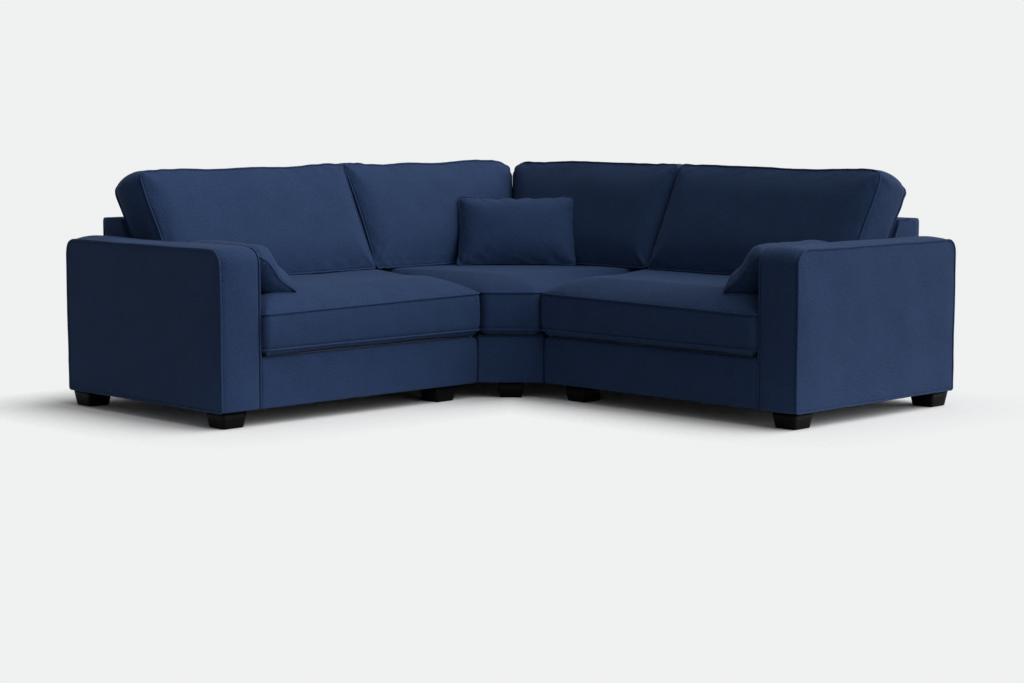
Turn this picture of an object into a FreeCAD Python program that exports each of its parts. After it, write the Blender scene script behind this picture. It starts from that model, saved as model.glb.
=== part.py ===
# Corner sofa in navy cloth: two equal wings with an arm each, a corner unit with a bevelled
# front, and loose seat, back and scatter cushions.
#
# Millimetres. +X runs along the first wing towards the corner, +Y towards its back, +Z up.
# The second wing is the first one mirrored in the plane x = y. The origin lies on the floor,
# at the centre of the square that the two wings span.
import FreeCAD
import Part
import math
import os
from types import SimpleNamespace

import Sketcher

PLAN = [
    ("wing_length", 2430, "outside length of each wing"),
    ("module_depth", 990, "front of the base to the outside back"),
    ("corner_side", 1170, "outside length of the corner unit"),
    ("arm_width", 178, "arm, over its two side panels"),
    ("arm_height", 647, "floor to the seam along the top of the arm"),
    ("arm_crown", 10, "swell of the strip over the arm"),
    ("arm_front_radius", 55, "top front corner of the arm"),
    ("arm_back_radius", 45, "top back corner of the arm"),
    ("foot_height", 62, "floor to the underside of the base"),
    ("foot_top_width", 108, "foot where it meets the base"),
    ("foot_bottom_width", 88, "foot on the floor"),
    ("foot_inset", 26, "foot on the floor to the faces above it"),
    ("foot_setback", 157, "middle of a foot to the joint with the corner unit"),
    ("base_top", 250, "floor to the deck under the seat cushions"),
    ("base_radius", 22, "rounded corners of the base at the joints"),
    ("back_top", 720, "floor to the top of the fixed back"),
    ("back_top_depth", 125, "depth of the fixed back at its top"),
    ("back_lean", 26, "lean of the back and its cushions, in degrees"),
    ("back_edge_radius", 18, "rounded top edges of the fixed back"),
    ("seat_back_depth", 250, "outside back to the rear of the seat cushions"),
    ("cover_thickness", 12, "wadding and cloth over the frame"),
    ("board_thickness", 18, "rails and uprights"),
    ("arm_board", 15, "boards of the arms"),
    ("dust_thickness", 1.5, "dust cloth under the base"),
    ("deck_thickness", 6, "felt over the springs"),
    ("clip_height", 6, "spring clips on the rails"),
    ("clip_width", 16, "spring clips along the rail"),
    ("block_size", 110, "blocks that hold the feet"),
    ("block_height", 45, "height of those blocks"),
    ("wire_diameter", 3.6, "zigzag spring wire"),
    ("spring_width", 54, "zigzag spring, side to side"),
    ("spring_bend", 14, "bend radius of the spring wire"),
    ("wing_springs", 5, "springs in each wing"),
    ("corner_springs", 4, "springs in the corner unit"),
    ("web_width", 70, "elastic webbing in the back"),
    ("web_thickness", 2, "thickness of the webbing"),
    ("wing_webs", 4, "webs in the back of each wing"),
    ("corner_webs", 3, "webs in each back of the corner unit"),
    ("bolt_diameter", 8, "foot bolts"),
    ("bolt_in_foot", 36, "length of each bolt in its foot"),
    ("nut_flange", 22, "width of the tee nuts"),
    ("nut_flange_height", 1.6, "thickness of their flanges"),
    ("nut_barrel", 10, "diameter and length of their barrels"),
    ("link_length", 110, "plates that join the modules"),
    ("link_width", 40, "width of the plates"),
    ("link_thickness", 3, "thickness of the plates"),
    ("link_setback", 297, "plates from the front and the back of the modules"),
    ("screw_diameter", 5, "screws of the plates"),
    ("screw_head", 10, "width of their heads"),
    ("screw_head_height", 2.5, "height of their heads"),
    ("screw_length", 24, "depth of their holes above the plates"),
    ("seat_overhang", 25, "seat cushions in front of the base"),
    ("seat_low_seam", 283, "floor to the lower seam of the seat cushions"),
    ("seat_high_seam", 422, "floor to their upper seam"),
    ("seat_crown", 488, "floor to the top of their crown"),
    ("seat_radius", 22, "corners of the seat cushions"),
    ("seat_draw", 5, "how far their sides are drawn in"),
    ("back_thickness", 190, "back cushions between their two seams"),
    ("back_height", 384, "back cushions above the seat, along their lean"),
    ("back_swell", 28, "crown of the back cushions"),
    ("back_radius", 45, "top corners of the back cushions"),
    ("back_inner_radius", 62, "top corners beside the corner of the sofa"),
    ("back_draw", 6, "how far their sides are drawn in"),
    ("back_overlap", 60, "corner back cushions past the joint of the modules"),
    ("back_arm_gap", 9, "outer back cushions to the arm"),
    ("lumbar_width", 490, "cushion across the corner, side to side"),
    ("lumbar_height", 340, "its height, along its lean"),
    ("lumbar_clearance", 22, "its edges to the faces of the back cushions"),
    ("arm_cushion_width", 440, "cushions beside the arms, side to side"),
    ("arm_cushion_height", 262, "their height, along their lean"),
    ("arm_cushion_top", 653, "floor to their upper edge"),
    ("arm_cushion_rear", 240, "their rear edge to the seat cushion's rear edge"),
    ("arm_cushion_clearance", 10, "their upper edge to the arm"),
    ("scatter_thickness", 118, "scatter cushions at their middle"),
    ("scatter_draw", 12, "how far their edges are drawn in"),
    ("cloth", 2.5, "cushion covers"),
    ("fill_gap", 0.3, "filling to its cover"),
    ("rest_gap", 0.4, "loose cushions to what they rest on"),
    ("side_gap", 0.5, "loose cushions to what is beside them"),
    ("bore_gap", 0.2, "bolts and wire in their holes"),
]

doc = FreeCAD.newDocument("corner_sofa")
sheet = doc.addObject("Spreadsheet::Sheet", "Sizes")
for row, (alias, number, meaning) in enumerate(PLAN, start=1):
    sheet.set(f"A{row}", str(number))
    sheet.setAlias(f"A{row}", alias)
    sheet.set(f"B{row}", meaning)
doc.recompute()


class Size:
    """A number of the model together with the spreadsheet formula that gives it."""

    def __init__(self, value, formula):
        self.value = float(value)
        self.formula = formula

    def __add__(self, other):
        return joined(self, "+", other)

    def __sub__(self, other):
        return joined(self, "-", other)

    def __mul__(self, other):
        return joined(self, "*", other)

    def __truediv__(self, other):
        return joined(self, "/", other)

    def __neg__(self):
        return joined(0, "-", self)


def as_size(number):
    return number if isinstance(number, Size) else Size(number, f"({number})")


def joined(left, sign, right):
    left, right = as_size(left), as_size(right)
    results = {
        "+": lambda a, b: a + b,
        "-": lambda a, b: a - b,
        "*": lambda a, b: a * b,
        "/": lambda a, b: a / b,
    }
    value = results[sign](left.value, right.value)
    return Size(value, f"({left.formula} {sign} {right.formula})")


def tangent(angle):
    return Size(math.tan(math.radians(angle.value)), f"tan({angle.formula} * 1 deg)")


def cosine(angle):
    return Size(math.cos(math.radians(angle.value)), f"cos({angle.formula} * 1 deg)")


s = SimpleNamespace(**{alias: Size(sheet.get(alias), f"Sizes.{alias}") for alias, _, _ in PLAN})

# Places that many pieces share.
half = s.wing_length / 2
arm_in = s.arm_width - half
join = half - s.corner_side
front = half - s.module_depth
seat_rear = half - s.seat_back_depth
arm_rear = half - s.arm_crown
rail_top = s.base_top - s.deck_thickness - s.clip_height
deck_bottom = s.base_top - s.deck_thickness
frame_bottom = s.foot_height + s.dust_thickness
frame_front = front + s.cover_thickness
frame_rear = half - s.cover_thickness
frame_join = join - s.cover_thickness
toe_rear = seat_rear + s.cover_thickness
corner_in = join + s.cover_thickness
root_two = math.sqrt(2)
bevel_sum = join + front
frame_bevel_sum = bevel_sum + s.cover_thickness * root_two
rail_bevel_sum = frame_bevel_sum + s.board_thickness * root_two
foot_middle = s.foot_inset + s.foot_bottom_width / 2

nodes = {}


def bind(item, name, number):
    """Ties one property of an object to the sheet."""
    item.setExpression(name, as_size(number).formula)


def keep(name, item):
    """Gives a finished sub-part its label, which names its file."""
    item.Label = name
    nodes[name] = item
    return item


def box(name, low, high):
    """A board or sheet between its lowest and highest corners."""
    piece = doc.addObject("Part::Box", name)
    for side, axis, start, end in zip(("Length", "Width", "Height"), "xyz", low, high):
        bind(piece, side, as_size(end) - start)
        bind(piece, f"Placement.Base.{axis}", start)
    return piece


def cylinder(name, diameter, middle, bottom, top):
    """An upright round piece."""
    piece = doc.addObject("Part::Cylinder", name)
    bind(piece, "Radius", diameter / 2)
    bind(piece, "Height", top - bottom)
    bind(piece, "Placement.Base.x", middle[0])
    bind(piece, "Placement.Base.y", middle[1])
    bind(piece, "Placement.Base.z", bottom)
    return piece


def pad(name, plane, corners, start, end):
    """A sketched outline on the XY or YZ plane, padded from start to end along its normal."""
    body = doc.addObject("PartDesign::Body", name)
    sketch = body.newObject("Sketcher::SketchObject", f"{name}_outline")
    flat = next(item for item in body.Origin.OriginFeatures if item.Role == plane)
    sketch.AttachmentSupport = [(flat, "")]
    sketch.MapMode = "FlatFace"
    points = [FreeCAD.Vector(a.value, b.value, 0) for a, b in corners]
    for point, following in zip(points, points[1:] + points[:1]):
        sketch.addGeometry(Part.LineSegment(point, following), False)
    for line in range(len(points)):
        joint = Sketcher.Constraint("Coincident", line, 2, (line + 1) % len(points), 1)
        sketch.addConstraint(joint)
    for line, (across, along) in enumerate(corners):
        for kind, number in (("DistanceX", across), ("DistanceY", along)):
            rule = Sketcher.Constraint(kind, -1, 1, line, 1, number.value)
            index = sketch.addConstraint(rule)
            sketch.setExpression(f"Constraints[{index}]", number.formula)
    feature = body.newObject("PartDesign::Pad", f"{name}_pad")
    feature.Profile = sketch
    bind(feature, "Length", as_size(end) - start)
    bind(body, "Placement.Base.z" if plane == "XY_Plane" else "Placement.Base.x", start)
    return body


def cut(name, base, tool):
    piece = doc.addObject("Part::Cut", name)
    piece.Base = base
    piece.Tool = tool
    return piece


def fuse(name, pieces):
    piece = doc.addObject("Part::MultiFuse", name)
    piece.Shapes = pieces
    return piece


def group(name, pieces):
    """Like pieces that stay separate solids under one name."""
    piece = doc.addObject("Part::Compound", name)
    piece.Links = pieces
    return piece


def mirrored(name, piece):
    """The same piece on the other wing, across the plane x = y."""
    copy = doc.addObject("Part::Mirroring", name)
    copy.Source = piece
    copy.Base = FreeCAD.Vector(0, 0, 0)
    copy.Normal = FreeCAD.Vector(1, -1, 0)
    return copy


def rounded(name, piece, rules):
    """Rounds the straight edges that each rule picks by their two end points."""
    doc.recompute()
    edges = []
    for picks, radius in rules:
        for index, edge in enumerate(piece.Shape.Edges, start=1):
            ends = [vertex.Point for vertex in edge.Vertexes]
            if len(ends) == 2 and all(picks(end) for end in ends):
                edges.append((index, radius.value, radius.value))
    result = doc.addObject("Part::Fillet", name)
    result.Base = piece
    result.Edges = edges
    return result


def shaped(name, shape):
    """A form that neither sketches nor primitives give."""
    piece = doc.addObject("Part::Feature", name)
    piece.Shape = shape
    return piece


def near(a, b):
    return abs(a - as_size(b).value) < 0.01


# Arms: boards inside, a panel on each side and a swelled strip over the front, top and back.

def arm_panel(name, low_x, high_x, bottom):
    plate = box(f"{name}_plate", (low_x, front, bottom), (high_x, arm_rear, s.arm_height))
    return rounded(name, plate, [
        (lambda p: near(p.y, front) and near(p.z, s.arm_height), s.arm_front_radius),
        (lambda p: near(p.y, arm_rear) and near(p.z, s.arm_height), s.arm_back_radius),
    ])


def arm_side_board(name, low_x, high_x):
    top = s.arm_height - s.cover_thickness
    rear = arm_rear - s.cover_thickness
    board = box(f"{name}_blank", (low_x, frame_front, frame_bottom), (high_x, rear, top))
    return rounded(name, board, [
        (lambda p: near(p.y, frame_front) and near(p.z, top), s.arm_front_radius - s.cover_thickness),
        (lambda p: near(p.y, rear) and near(p.z, top), s.arm_back_radius - s.cover_thickness),
    ])


def arm_border():
    """The strip's section carried up the front, over the top and down the back of the arm."""
    low_x, high_x = (s.cover_thickness - half).value, (arm_in - s.cover_thickness).value
    near_y, far_y = frame_front.value, (arm_rear - s.cover_thickness).value
    bottom, top = s.foot_height.value, (s.arm_height - s.cover_thickness).value
    thick, swell = s.cover_thickness.value, s.arm_crown.value
    bend_a = s.arm_front_radius.value - thick
    bend_b = s.arm_back_radius.value - thick
    lean = math.sqrt(0.5)

    def at(y, z):
        return FreeCAD.Vector(low_x, y, z)

    run = [
        Part.LineSegment(at(near_y, bottom), at(near_y, top - bend_a)),
        Part.Arc(
            at(near_y, top - bend_a),
            at(near_y + bend_a * (1 - lean), top - bend_a * (1 - lean)),
            at(near_y + bend_a, top),
        ),
        Part.LineSegment(at(near_y + bend_a, top), at(far_y - bend_b, top)),
        Part.Arc(
            at(far_y - bend_b, top),
            at(far_y - bend_b * (1 - lean), top - bend_b * (1 - lean)),
            at(far_y, top - bend_b),
        ),
        Part.LineSegment(at(far_y, top - bend_b), at(far_y, bottom)),
    ]
    path = Part.Wire([curve.toShape() for curve in run])
    inner = [FreeCAD.Vector(x, near_y, bottom) for x in (low_x, high_x)]
    outer = [FreeCAD.Vector(x, near_y - thick, bottom) for x in (low_x, high_x)]
    middle = FreeCAD.Vector((low_x + high_x) / 2, near_y - thick - swell, bottom)
    section = Part.Wire([
        Part.LineSegment(inner[0], inner[1]).toShape(),
        Part.LineSegment(inner[1], outer[1]).toShape(),
        Part.Arc(outer[1], middle, outer[0]).toShape(),
        Part.LineSegment(outer[0], inner[0]).toShape(),
    ])
    return path.makePipeShell([section], True, False)


def arm():
    outer_face = -half + s.cover_thickness
    inner_face = arm_in - s.cover_thickness
    rear = arm_rear - s.cover_thickness
    top = s.arm_height - s.cover_thickness
    front_bend = s.arm_front_radius - s.cover_thickness
    back_bend = s.arm_back_radius - s.cover_thickness
    between = (outer_face + s.arm_board, inner_face - s.arm_board)
    boards = [
        arm_side_board("arm_outer_board", outer_face, between[0]),
        arm_side_board("arm_inner_board", between[1], inner_face),
        box("arm_top_board", (between[0], frame_front + front_bend, top - s.arm_board),
            (between[1], rear - back_bend, top)),
        box("arm_front_board", (between[0], frame_front, frame_bottom),
            (between[1], frame_front + s.arm_board, top - front_bend)),
        box("arm_back_board", (between[0], rear - s.arm_board, frame_bottom),
            (between[1], rear, top - back_bend)),
    ]
    return {
        "arm_frame": group("arm_frame", boards),
        "arm_outer_panel": arm_panel("arm_outer_panel", -half, outer_face, s.foot_height),
        "arm_inner_panel": arm_panel("arm_inner_panel", inner_face, arm_in, frame_bottom),
        "arm_border": shaped("arm_border", arm_border()),
    }


# Links: a plate under the joint of two modules, screwed up into the end rail of each.

link_rows = [front + s.link_setback, half - s.link_setback]


def link_screws_at(side):
    """Middles of the screws on one side of the joint: -1 in the wing, 1 in the corner unit."""
    across = join + (s.cover_thickness + s.board_thickness / 2) * side
    return [(across, row + s.link_width / 4 * end) for row in link_rows for end in (-1, 1)]


wing_screws = link_screws_at(-1)
corner_screws = link_screws_at(1)


def link_plate(name, row):
    plate = box(f"{name}_blank", (join - s.link_length / 2, row - s.link_width / 2,
                                  s.foot_height - s.link_thickness),
                (join + s.link_length / 2, row + s.link_width / 2, s.foot_height))
    low, high = s.foot_height - s.link_thickness - 1, s.foot_height + 1
    middles = [m for m in wing_screws + corner_screws if abs(m[1].value - row.value) < s.link_width.value]
    return pierced(name, plate, [(s.screw_diameter, middle, low, high) for middle in middles])


def link_screw(name, middle):
    under = s.foot_height - s.link_thickness
    head = cylinder(f"{name}_head", s.screw_head, middle, under - s.screw_head_height, under)
    shank = cylinder(f"{name}_shank", s.screw_diameter, middle, under,
                     s.foot_height + s.screw_length - 1)
    return fuse(name, [head, shank])


# Feet, the blocks they bolt into, and their bolts and tee nuts.

def foot(name, middle, turn=0):
    """A square foot that widens upwards, bored for its bolt."""
    block = doc.addObject("Part::Wedge", f"{name}_block")
    for side in ("X", "Z"):
        bind(block, f"{side}min", -s.foot_bottom_width / 2)
        bind(block, f"{side}max", s.foot_bottom_width / 2)
        bind(block, f"{side}2min", -s.foot_top_width / 2)
        bind(block, f"{side}2max", s.foot_top_width / 2)
    bind(block, "Ymin", 0)
    bind(block, "Ymax", s.foot_height)
    upright = FreeCAD.Rotation(FreeCAD.Vector(1, 0, 0), 90)
    turned = FreeCAD.Rotation(FreeCAD.Vector(0, 0, 1), turn)
    block.Placement = FreeCAD.Placement(FreeCAD.Vector(0, 0, 0), turned.multiply(upright))
    bind(block, "Placement.Base.x", middle[0])
    bind(block, "Placement.Base.y", middle[1])
    bore = cylinder(f"{name}_bore", s.bolt_diameter + s.bore_gap * 2, middle,
                    s.foot_height - s.bolt_in_foot, s.foot_height + 1)
    return cut(name, block, bore)


def bolt(name, middle):
    """A threaded stud from the foot to the top of its block."""
    return cylinder(name, s.bolt_diameter, middle, s.foot_height - s.bolt_in_foot,
                    frame_bottom + s.block_height + s.nut_flange_height)


def tee_nut(name, middle):
    top = frame_bottom + s.block_height
    flange = cylinder(f"{name}_flange", s.nut_flange, middle, top, top + s.nut_flange_height)
    barrel = cylinder(f"{name}_barrel", s.nut_barrel, middle, top - s.nut_barrel, top)
    bore = cylinder(f"{name}_bore", s.bolt_diameter + s.bore_gap, middle,
                    top - s.nut_barrel - 1, top + s.nut_flange_height + 1)
    return cut(name, fuse(f"{name}_blank", [flange, barrel]), bore)


def foot_block(name, low, high, middle):
    block = box(f"{name}_blank", (low[0], low[1], frame_bottom),
                (high[0], high[1], frame_bottom + s.block_height))
    bore = cylinder(f"{name}_bore", s.nut_barrel + s.bore_gap, middle,
                    frame_bottom - 1, frame_bottom + s.block_height + 1)
    return cut(name, block, bore)


wing_feet = {
    "arm_front": (foot_middle - half, front + foot_middle),
    "arm_back": (foot_middle - half, half - foot_middle),
    "joint_front": (join - s.foot_setback, front + foot_middle),
    "joint_back": (join - s.foot_setback, half - foot_middle),
}
bevel_foot = (bevel_sum + foot_middle * root_two) / 2
corner_feet = {
    "bevel": (bevel_foot, bevel_foot),
    "left_back": (join + foot_middle, half - foot_middle),
    "outer": (half - foot_middle, half - foot_middle),
    "right_back": (half - foot_middle, join + foot_middle),
}


def wing_blocks():
    board = s.board_thickness
    low_x = -half + s.cover_thickness + s.arm_board
    high_x = arm_in - s.cover_thickness - s.arm_board
    arm_front = frame_front + s.arm_board
    arm_back = arm_rear - s.cover_thickness - s.arm_board
    spans = {
        "arm_front": ((low_x, arm_front), (high_x, arm_front + s.block_size)),
        "arm_back": ((low_x, arm_back - s.block_size), (high_x, arm_back)),
    }
    left = join - s.foot_setback - s.block_size / 2
    right = join - s.foot_setback + s.block_size / 2
    near_y, far_y = frame_front + board, frame_rear - board
    spans["joint_front"] = ((left, near_y), (right, near_y + s.block_size))
    spans["joint_back"] = ((left, far_y - s.block_size), (right, far_y))
    return [
        foot_block(f"block_{place}", *spans[place], wing_feet[place]) for place in wing_feet
    ]


def corner_blocks():
    board = s.board_thickness
    left, rear = corner_in + board, frame_rear - board
    size = s.block_size
    bevel = [
        (corner_in + board, rail_bevel_sum - corner_in - board),
        (rail_bevel_sum - corner_in - board, corner_in + board),
        (rail_bevel_sum - corner_in - board + size / 2, corner_in + board),
        (corner_in + board, rail_bevel_sum - corner_in - board + size / 2),
    ]
    blank = pad("block_bevel_blank", "XY_Plane", bevel, frame_bottom, frame_bottom + s.block_height)
    bore = cylinder("block_bevel_bore", s.nut_barrel + s.bore_gap, corner_feet["bevel"],
                    frame_bottom - 1, frame_bottom + s.block_height + 1)
    return [
        cut("block_bevel", blank, bore),
        foot_block("block_left_back", (left, rear - size), (left + size, rear),
                   corner_feet["left_back"]),
        foot_block("block_outer", (rear - size, rear - size), (rear, rear), corner_feet["outer"]),
        foot_block("block_right_back", (rear - size, left), (rear, left + size),
                   corner_feet["right_back"]),
    ]


# Base: rails, zigzag springs in clips, felt deck, dust cloth and the padded cover.

def wing_rails():
    board = s.board_thickness
    bottom, top = frame_bottom, rail_top
    middle = (arm_in + frame_join) / 2
    ends = (arm_in + board, middle - board / 2, middle + board / 2, frame_join - board)
    near_y, far_y = frame_front + board, frame_rear - board
    rails = [
        box("front_rail", (arm_in, frame_front, bottom), (frame_join, near_y, top)),
        box("back_rail", (arm_in, far_y, bottom), (frame_join, frame_rear, top)),
        box("arm_end_rail", (arm_in, near_y, bottom), (ends[0], far_y, top)),
        box("joint_end_rail", (ends[3], near_y, bottom), (frame_join, far_y, top)),
        box("cross_rail", (ends[1], near_y, bottom), (ends[2], far_y, top)),
    ]
    for side, (start, end) in (("left", ends[0:2]), ("right", ends[2:4])):
        rails.append(box(f"seat_rail_{side}", (start, toe_rear - board, bottom),
                         (end, toe_rear, top)))
    return rails


def corner_rails():
    board = s.board_thickness
    bottom, top = frame_bottom, rail_top
    inner = frame_rear - board
    side_start = rail_bevel_sum - corner_in
    bevel = [
        (corner_in, frame_bevel_sum - corner_in),
        (frame_bevel_sum - corner_in, corner_in),
        (side_start, corner_in),
        (corner_in, side_start),
    ]
    side = box("corner_side_rail", (corner_in, side_start, bottom),
               (corner_in + board, inner, top))
    seat = box("corner_seat_rail", (corner_in + board, toe_rear - board, bottom),
               (toe_rear, toe_rear, top))
    seat_b = box("corner_seat_rail_b", (toe_rear - board, corner_in + board, bottom),
                 (toe_rear, toe_rear - board, top))
    return [
        pad("bevel_rail", "XY_Plane", bevel, bottom, top),
        side,
        mirrored("corner_side_rail_b", side),
        box("corner_back_rail", (corner_in, inner, bottom), (frame_rear, frame_rear, top)),
        box("corner_back_rail_b", (inner, corner_in, bottom), (frame_rear, inner, top)),
        seat,
        seat_b,
    ]


def spring(middle, start, end, height):
    """A zigzag wire: straight runs across joined by half turns, with a lead at each end."""
    bend = s.spring_bend.value
    reach = s.spring_width.value / 2 - bend
    turns = int((end - start - 4 * bend) / (2 * bend))
    lead = (end - start - 2 * bend * (turns + 1)) / 2
    lean = math.sqrt(0.5)

    def at(x, y):
        return FreeCAD.Vector(middle + x, y, height)

    y = start + lead
    side = 1
    curves = [
        Part.LineSegment(at(0, start), at(0, y)),
        Part.Arc(at(0, y), at(bend * (1 - lean), y + bend * lean), at(bend, y + bend)),
    ]
    y += bend
    x = bend
    for _ in range(turns):
        curves.append(Part.LineSegment(at(x, y), at(side * (reach + bend), y)))
        x = side * (reach + bend)
        curves.append(Part.Arc(at(x, y), at(x + side * bend, y + bend), at(x, y + 2 * bend)))
        y += 2 * bend
        side = -side
    curves.append(Part.LineSegment(at(x, y), at(-side * bend, y)))
    curves.append(Part.Arc(at(-side * bend, y), at(-side * bend * (1 - lean), y + bend * (1 - lean)),
                           at(0, y + bend)))
    curves.append(Part.LineSegment(at(0, y + bend), at(0, end)))
    path = Part.Wire([curve.toShape() for curve in curves])
    ring = Part.Circle(at(0, start), FreeCAD.Vector(0, 1, 0), s.wire_diameter.value / 2)
    return path.makePipeShell([Part.Wire(ring.toShape())], True, False)


def spring_places(low, high, count):
    """Even places for the springs between two rails."""
    gap = (high - low) / (count.value + 1)
    return [low + gap * (index + 1) for index in range(int(count.value))]


wire_height = rail_top + s.clip_height / 2


def springs_at(places, start, end):
    wires = [spring(x.value, start.value, end.value, wire_height.value) for x in places]
    return Part.makeCompound(wires)


def clips_at(name, places, start, end):
    """A clip on the rail at each end of every wire."""
    clips = []
    depth = s.clip_width
    for index, x in enumerate(places):
        for where, y in (("front", start), ("rear", end - depth)):
            label = f"{name}_{where}_{index}"
            block = box(f"{label}_block", (x - s.clip_width / 2, y, rail_top),
                        (x + s.clip_width / 2, y + depth, deck_bottom))
            bore = cylinder(f"{label}_bore", s.wire_diameter + s.bore_gap, (x, y), 0, depth + 2)
            bore.Placement = FreeCAD.Placement(
                FreeCAD.Vector(0, 0, 0), FreeCAD.Rotation(FreeCAD.Vector(1, 0, 0), -90))
            bind(bore, "Placement.Base.x", x)
            bind(bore, "Placement.Base.y", y - 1)
            bind(bore, "Placement.Base.z", wire_height)
            clips.append(cut(label, block, bore))
    return clips


def wing_cover():
    """Padded cover on the front and the joint side, with rounded corners at the joint."""
    block = box("base_cover_block", (arm_in, front, s.foot_height), (join, frame_rear, s.base_top))
    soft = rounded("base_cover_soft", block, [
        (lambda p: near(p.x, join) and near(p.z, s.base_top), s.base_radius),
        (lambda p: near(p.x, join) and near(p.y, front), s.base_radius),
    ])
    inside = box("base_cover_inside", (arm_in - 1, frame_front, s.foot_height - 1),
                 (frame_join, half, s.base_top + 1))
    return cut("base_cover", soft, inside)


def bevelled(low, rear, bevel):
    """The plan of the corner unit: a square with its front corner cut off at 45 degrees."""
    return [
        (low, bevel - low), (bevel - low, low), (rear, low), (rear, rear), (low, rear),
    ]


def corner_cover():
    block = pad("corner_cover_block", "XY_Plane", bevelled(join, frame_rear, bevel_sum),
                s.foot_height, s.base_top)
    inside = pad("corner_cover_inside", "XY_Plane", bevelled(corner_in, half, frame_bevel_sum),
                 s.foot_height - 1, s.base_top + 1)
    return cut("corner_cover", block, inside)


def pierced(name, piece, holes):
    """A piece with upright holes, each given by its diameter, middle, bottom and top."""
    tools = [
        cylinder(f"{name}_hole_{index}", diameter + s.bore_gap * 2, middle, low, high)
        for index, (diameter, middle, low, high) in enumerate(holes)
    ]
    return cut(name, piece, fuse(f"{name}_holes", tools))


def bolt_holes(middles):
    """Holes in a dust cloth for the foot bolts."""
    low, high = s.foot_height - 1, frame_bottom + 1
    return [(s.bolt_diameter, middle, low, high) for middle in middles]


def screw_holes(middles):
    """Holes in a dust cloth and the rail above it for the screws of the link plates."""
    low, high = s.foot_height - 1, s.foot_height + s.screw_length
    return [(s.screw_diameter, middle, low, high) for middle in middles]


# Back: uprights and rails, webbing, and a padded cover that leans with the cushions.

tan_lean = tangent(s.back_lean)
cos_lean = cosine(s.back_lean)


def face_y(height, behind):
    """Where the leaning face is at a height, or a plane some way behind it."""
    rise = (s.back_top - height) * tan_lean
    return half - s.back_top_depth - rise + as_size(behind) / cos_lean


def face_z(y, behind):
    """The height at which that plane reaches y."""
    return s.back_top - (half - s.back_top_depth - y + as_size(behind) / cos_lean) / tan_lean


def back_section(inset, face_inset, bottom):
    """Section of the fixed back, set in from its outside."""
    inset = as_size(inset)
    rear, top, toe = half - inset, s.back_top - inset, seat_rear + inset
    return [
        (rear, bottom), (rear, top), (face_y(top, face_inset), top),
        (toe, face_z(toe, face_inset)), (toe, bottom),
    ]


def leaning_rail(name, low_z, high_z, start, end):
    depth = s.cover_thickness + s.web_thickness
    corners = [
        (face_y(low_z, depth), low_z),
        (face_y(high_z, depth), high_z),
        (face_y(high_z, depth + s.board_thickness), high_z),
        (face_y(low_z, depth + s.board_thickness), low_z),
    ]
    return pad(name, "YZ_Plane", corners, start, end)


top_rail_top = s.back_top - s.cover_thickness
top_rail_bottom = top_rail_top - s.board_thickness * 3
waist_bottom = face_z(toe_rear, s.cover_thickness)
waist_top = waist_bottom + s.board_thickness * 3


def uprights(name, places):
    section = back_section(s.cover_thickness, s.cover_thickness + s.web_thickness, rail_top)
    solids = []
    for index, x in enumerate(places):
        solids.append(pad(f"{name}_{index}", "YZ_Plane", section, x, x + s.board_thickness))
    return solids


def rails_between(name, places, end):
    """Top and waist rails from each upright to the next, and on to the end."""
    board = s.board_thickness
    spans = list(zip(places, list(places[1:]) + [end]))
    rails = []
    for index, (start, stop) in enumerate(spans):
        if stop.value - start.value > board.value * 2:
            rails.append(leaning_rail(f"{name}_top_{index}", top_rail_bottom, top_rail_top,
                                      start + board, stop))
            rails.append(leaning_rail(f"{name}_waist_{index}", waist_bottom, waist_top,
                                      start + board, stop))
    return rails


def webs(name, low, high, count):
    """Upright elastic straps over the waist and top rails."""
    gap = (high - low) / count.value
    corners = [
        (face_y(waist_bottom, s.cover_thickness), waist_bottom),
        (face_y(top_rail_top, s.cover_thickness), top_rail_top),
        (face_y(top_rail_top, s.cover_thickness + s.web_thickness), top_rail_top),
        (face_y(waist_bottom, s.cover_thickness + s.web_thickness), waist_bottom),
    ]
    straps = []
    for index in range(int(count.value)):
        start = low + gap * (index + 0.5) - s.web_width / 2
        straps.append(pad(f"{name}_{index}", "YZ_Plane", corners, start, start + s.web_width))
    return straps


def top_edges(shape_top):
    """Picks the long straight edges along the top of the fixed back."""
    def picks(point):
        return near(point.z, shape_top)
    return picks


def wing_back_cover():
    outer = pad("back_cover_outer", "YZ_Plane", back_section(0, 0, s.base_top), arm_in, join)
    soft = rounded("back_cover_soft", outer, [(top_edges(s.back_top), s.back_edge_radius)])
    section = back_section(s.cover_thickness, s.cover_thickness, s.base_top - 1)
    inside = pad("back_cover_inside", "YZ_Plane", section,
                 arm_in + s.cover_thickness, frame_join)
    shell = cut("back_cover_shell", soft, inside)
    skirt = box("back_cover_skirt", (arm_in, frame_rear, s.foot_height), (join, half, s.base_top))
    return fuse("back_cover", [shell, skirt])


def corner_back_cover():
    outer = pad("corner_back_outer", "YZ_Plane", back_section(0, 0, s.base_top), join, half)
    whole = fuse("corner_back_block", [outer, mirrored("corner_back_outer_b", outer)])
    soft = rounded("corner_back_soft", whole, [(top_edges(s.back_top), s.back_edge_radius)])
    section = back_section(s.cover_thickness, s.cover_thickness, s.base_top - 1)
    inner = pad("corner_back_inner", "YZ_Plane", section, corner_in, frame_rear)
    inside = fuse("corner_back_inside", [inner, mirrored("corner_back_inner_b", inner)])
    shell = cut("corner_back_shell", soft, inside)
    skirt = box("corner_back_skirt", (join, frame_rear, s.foot_height), (half, half, s.base_top))
    return fuse("corner_back_cover", [shell, skirt, mirrored("corner_back_skirt_b", skirt)])


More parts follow.
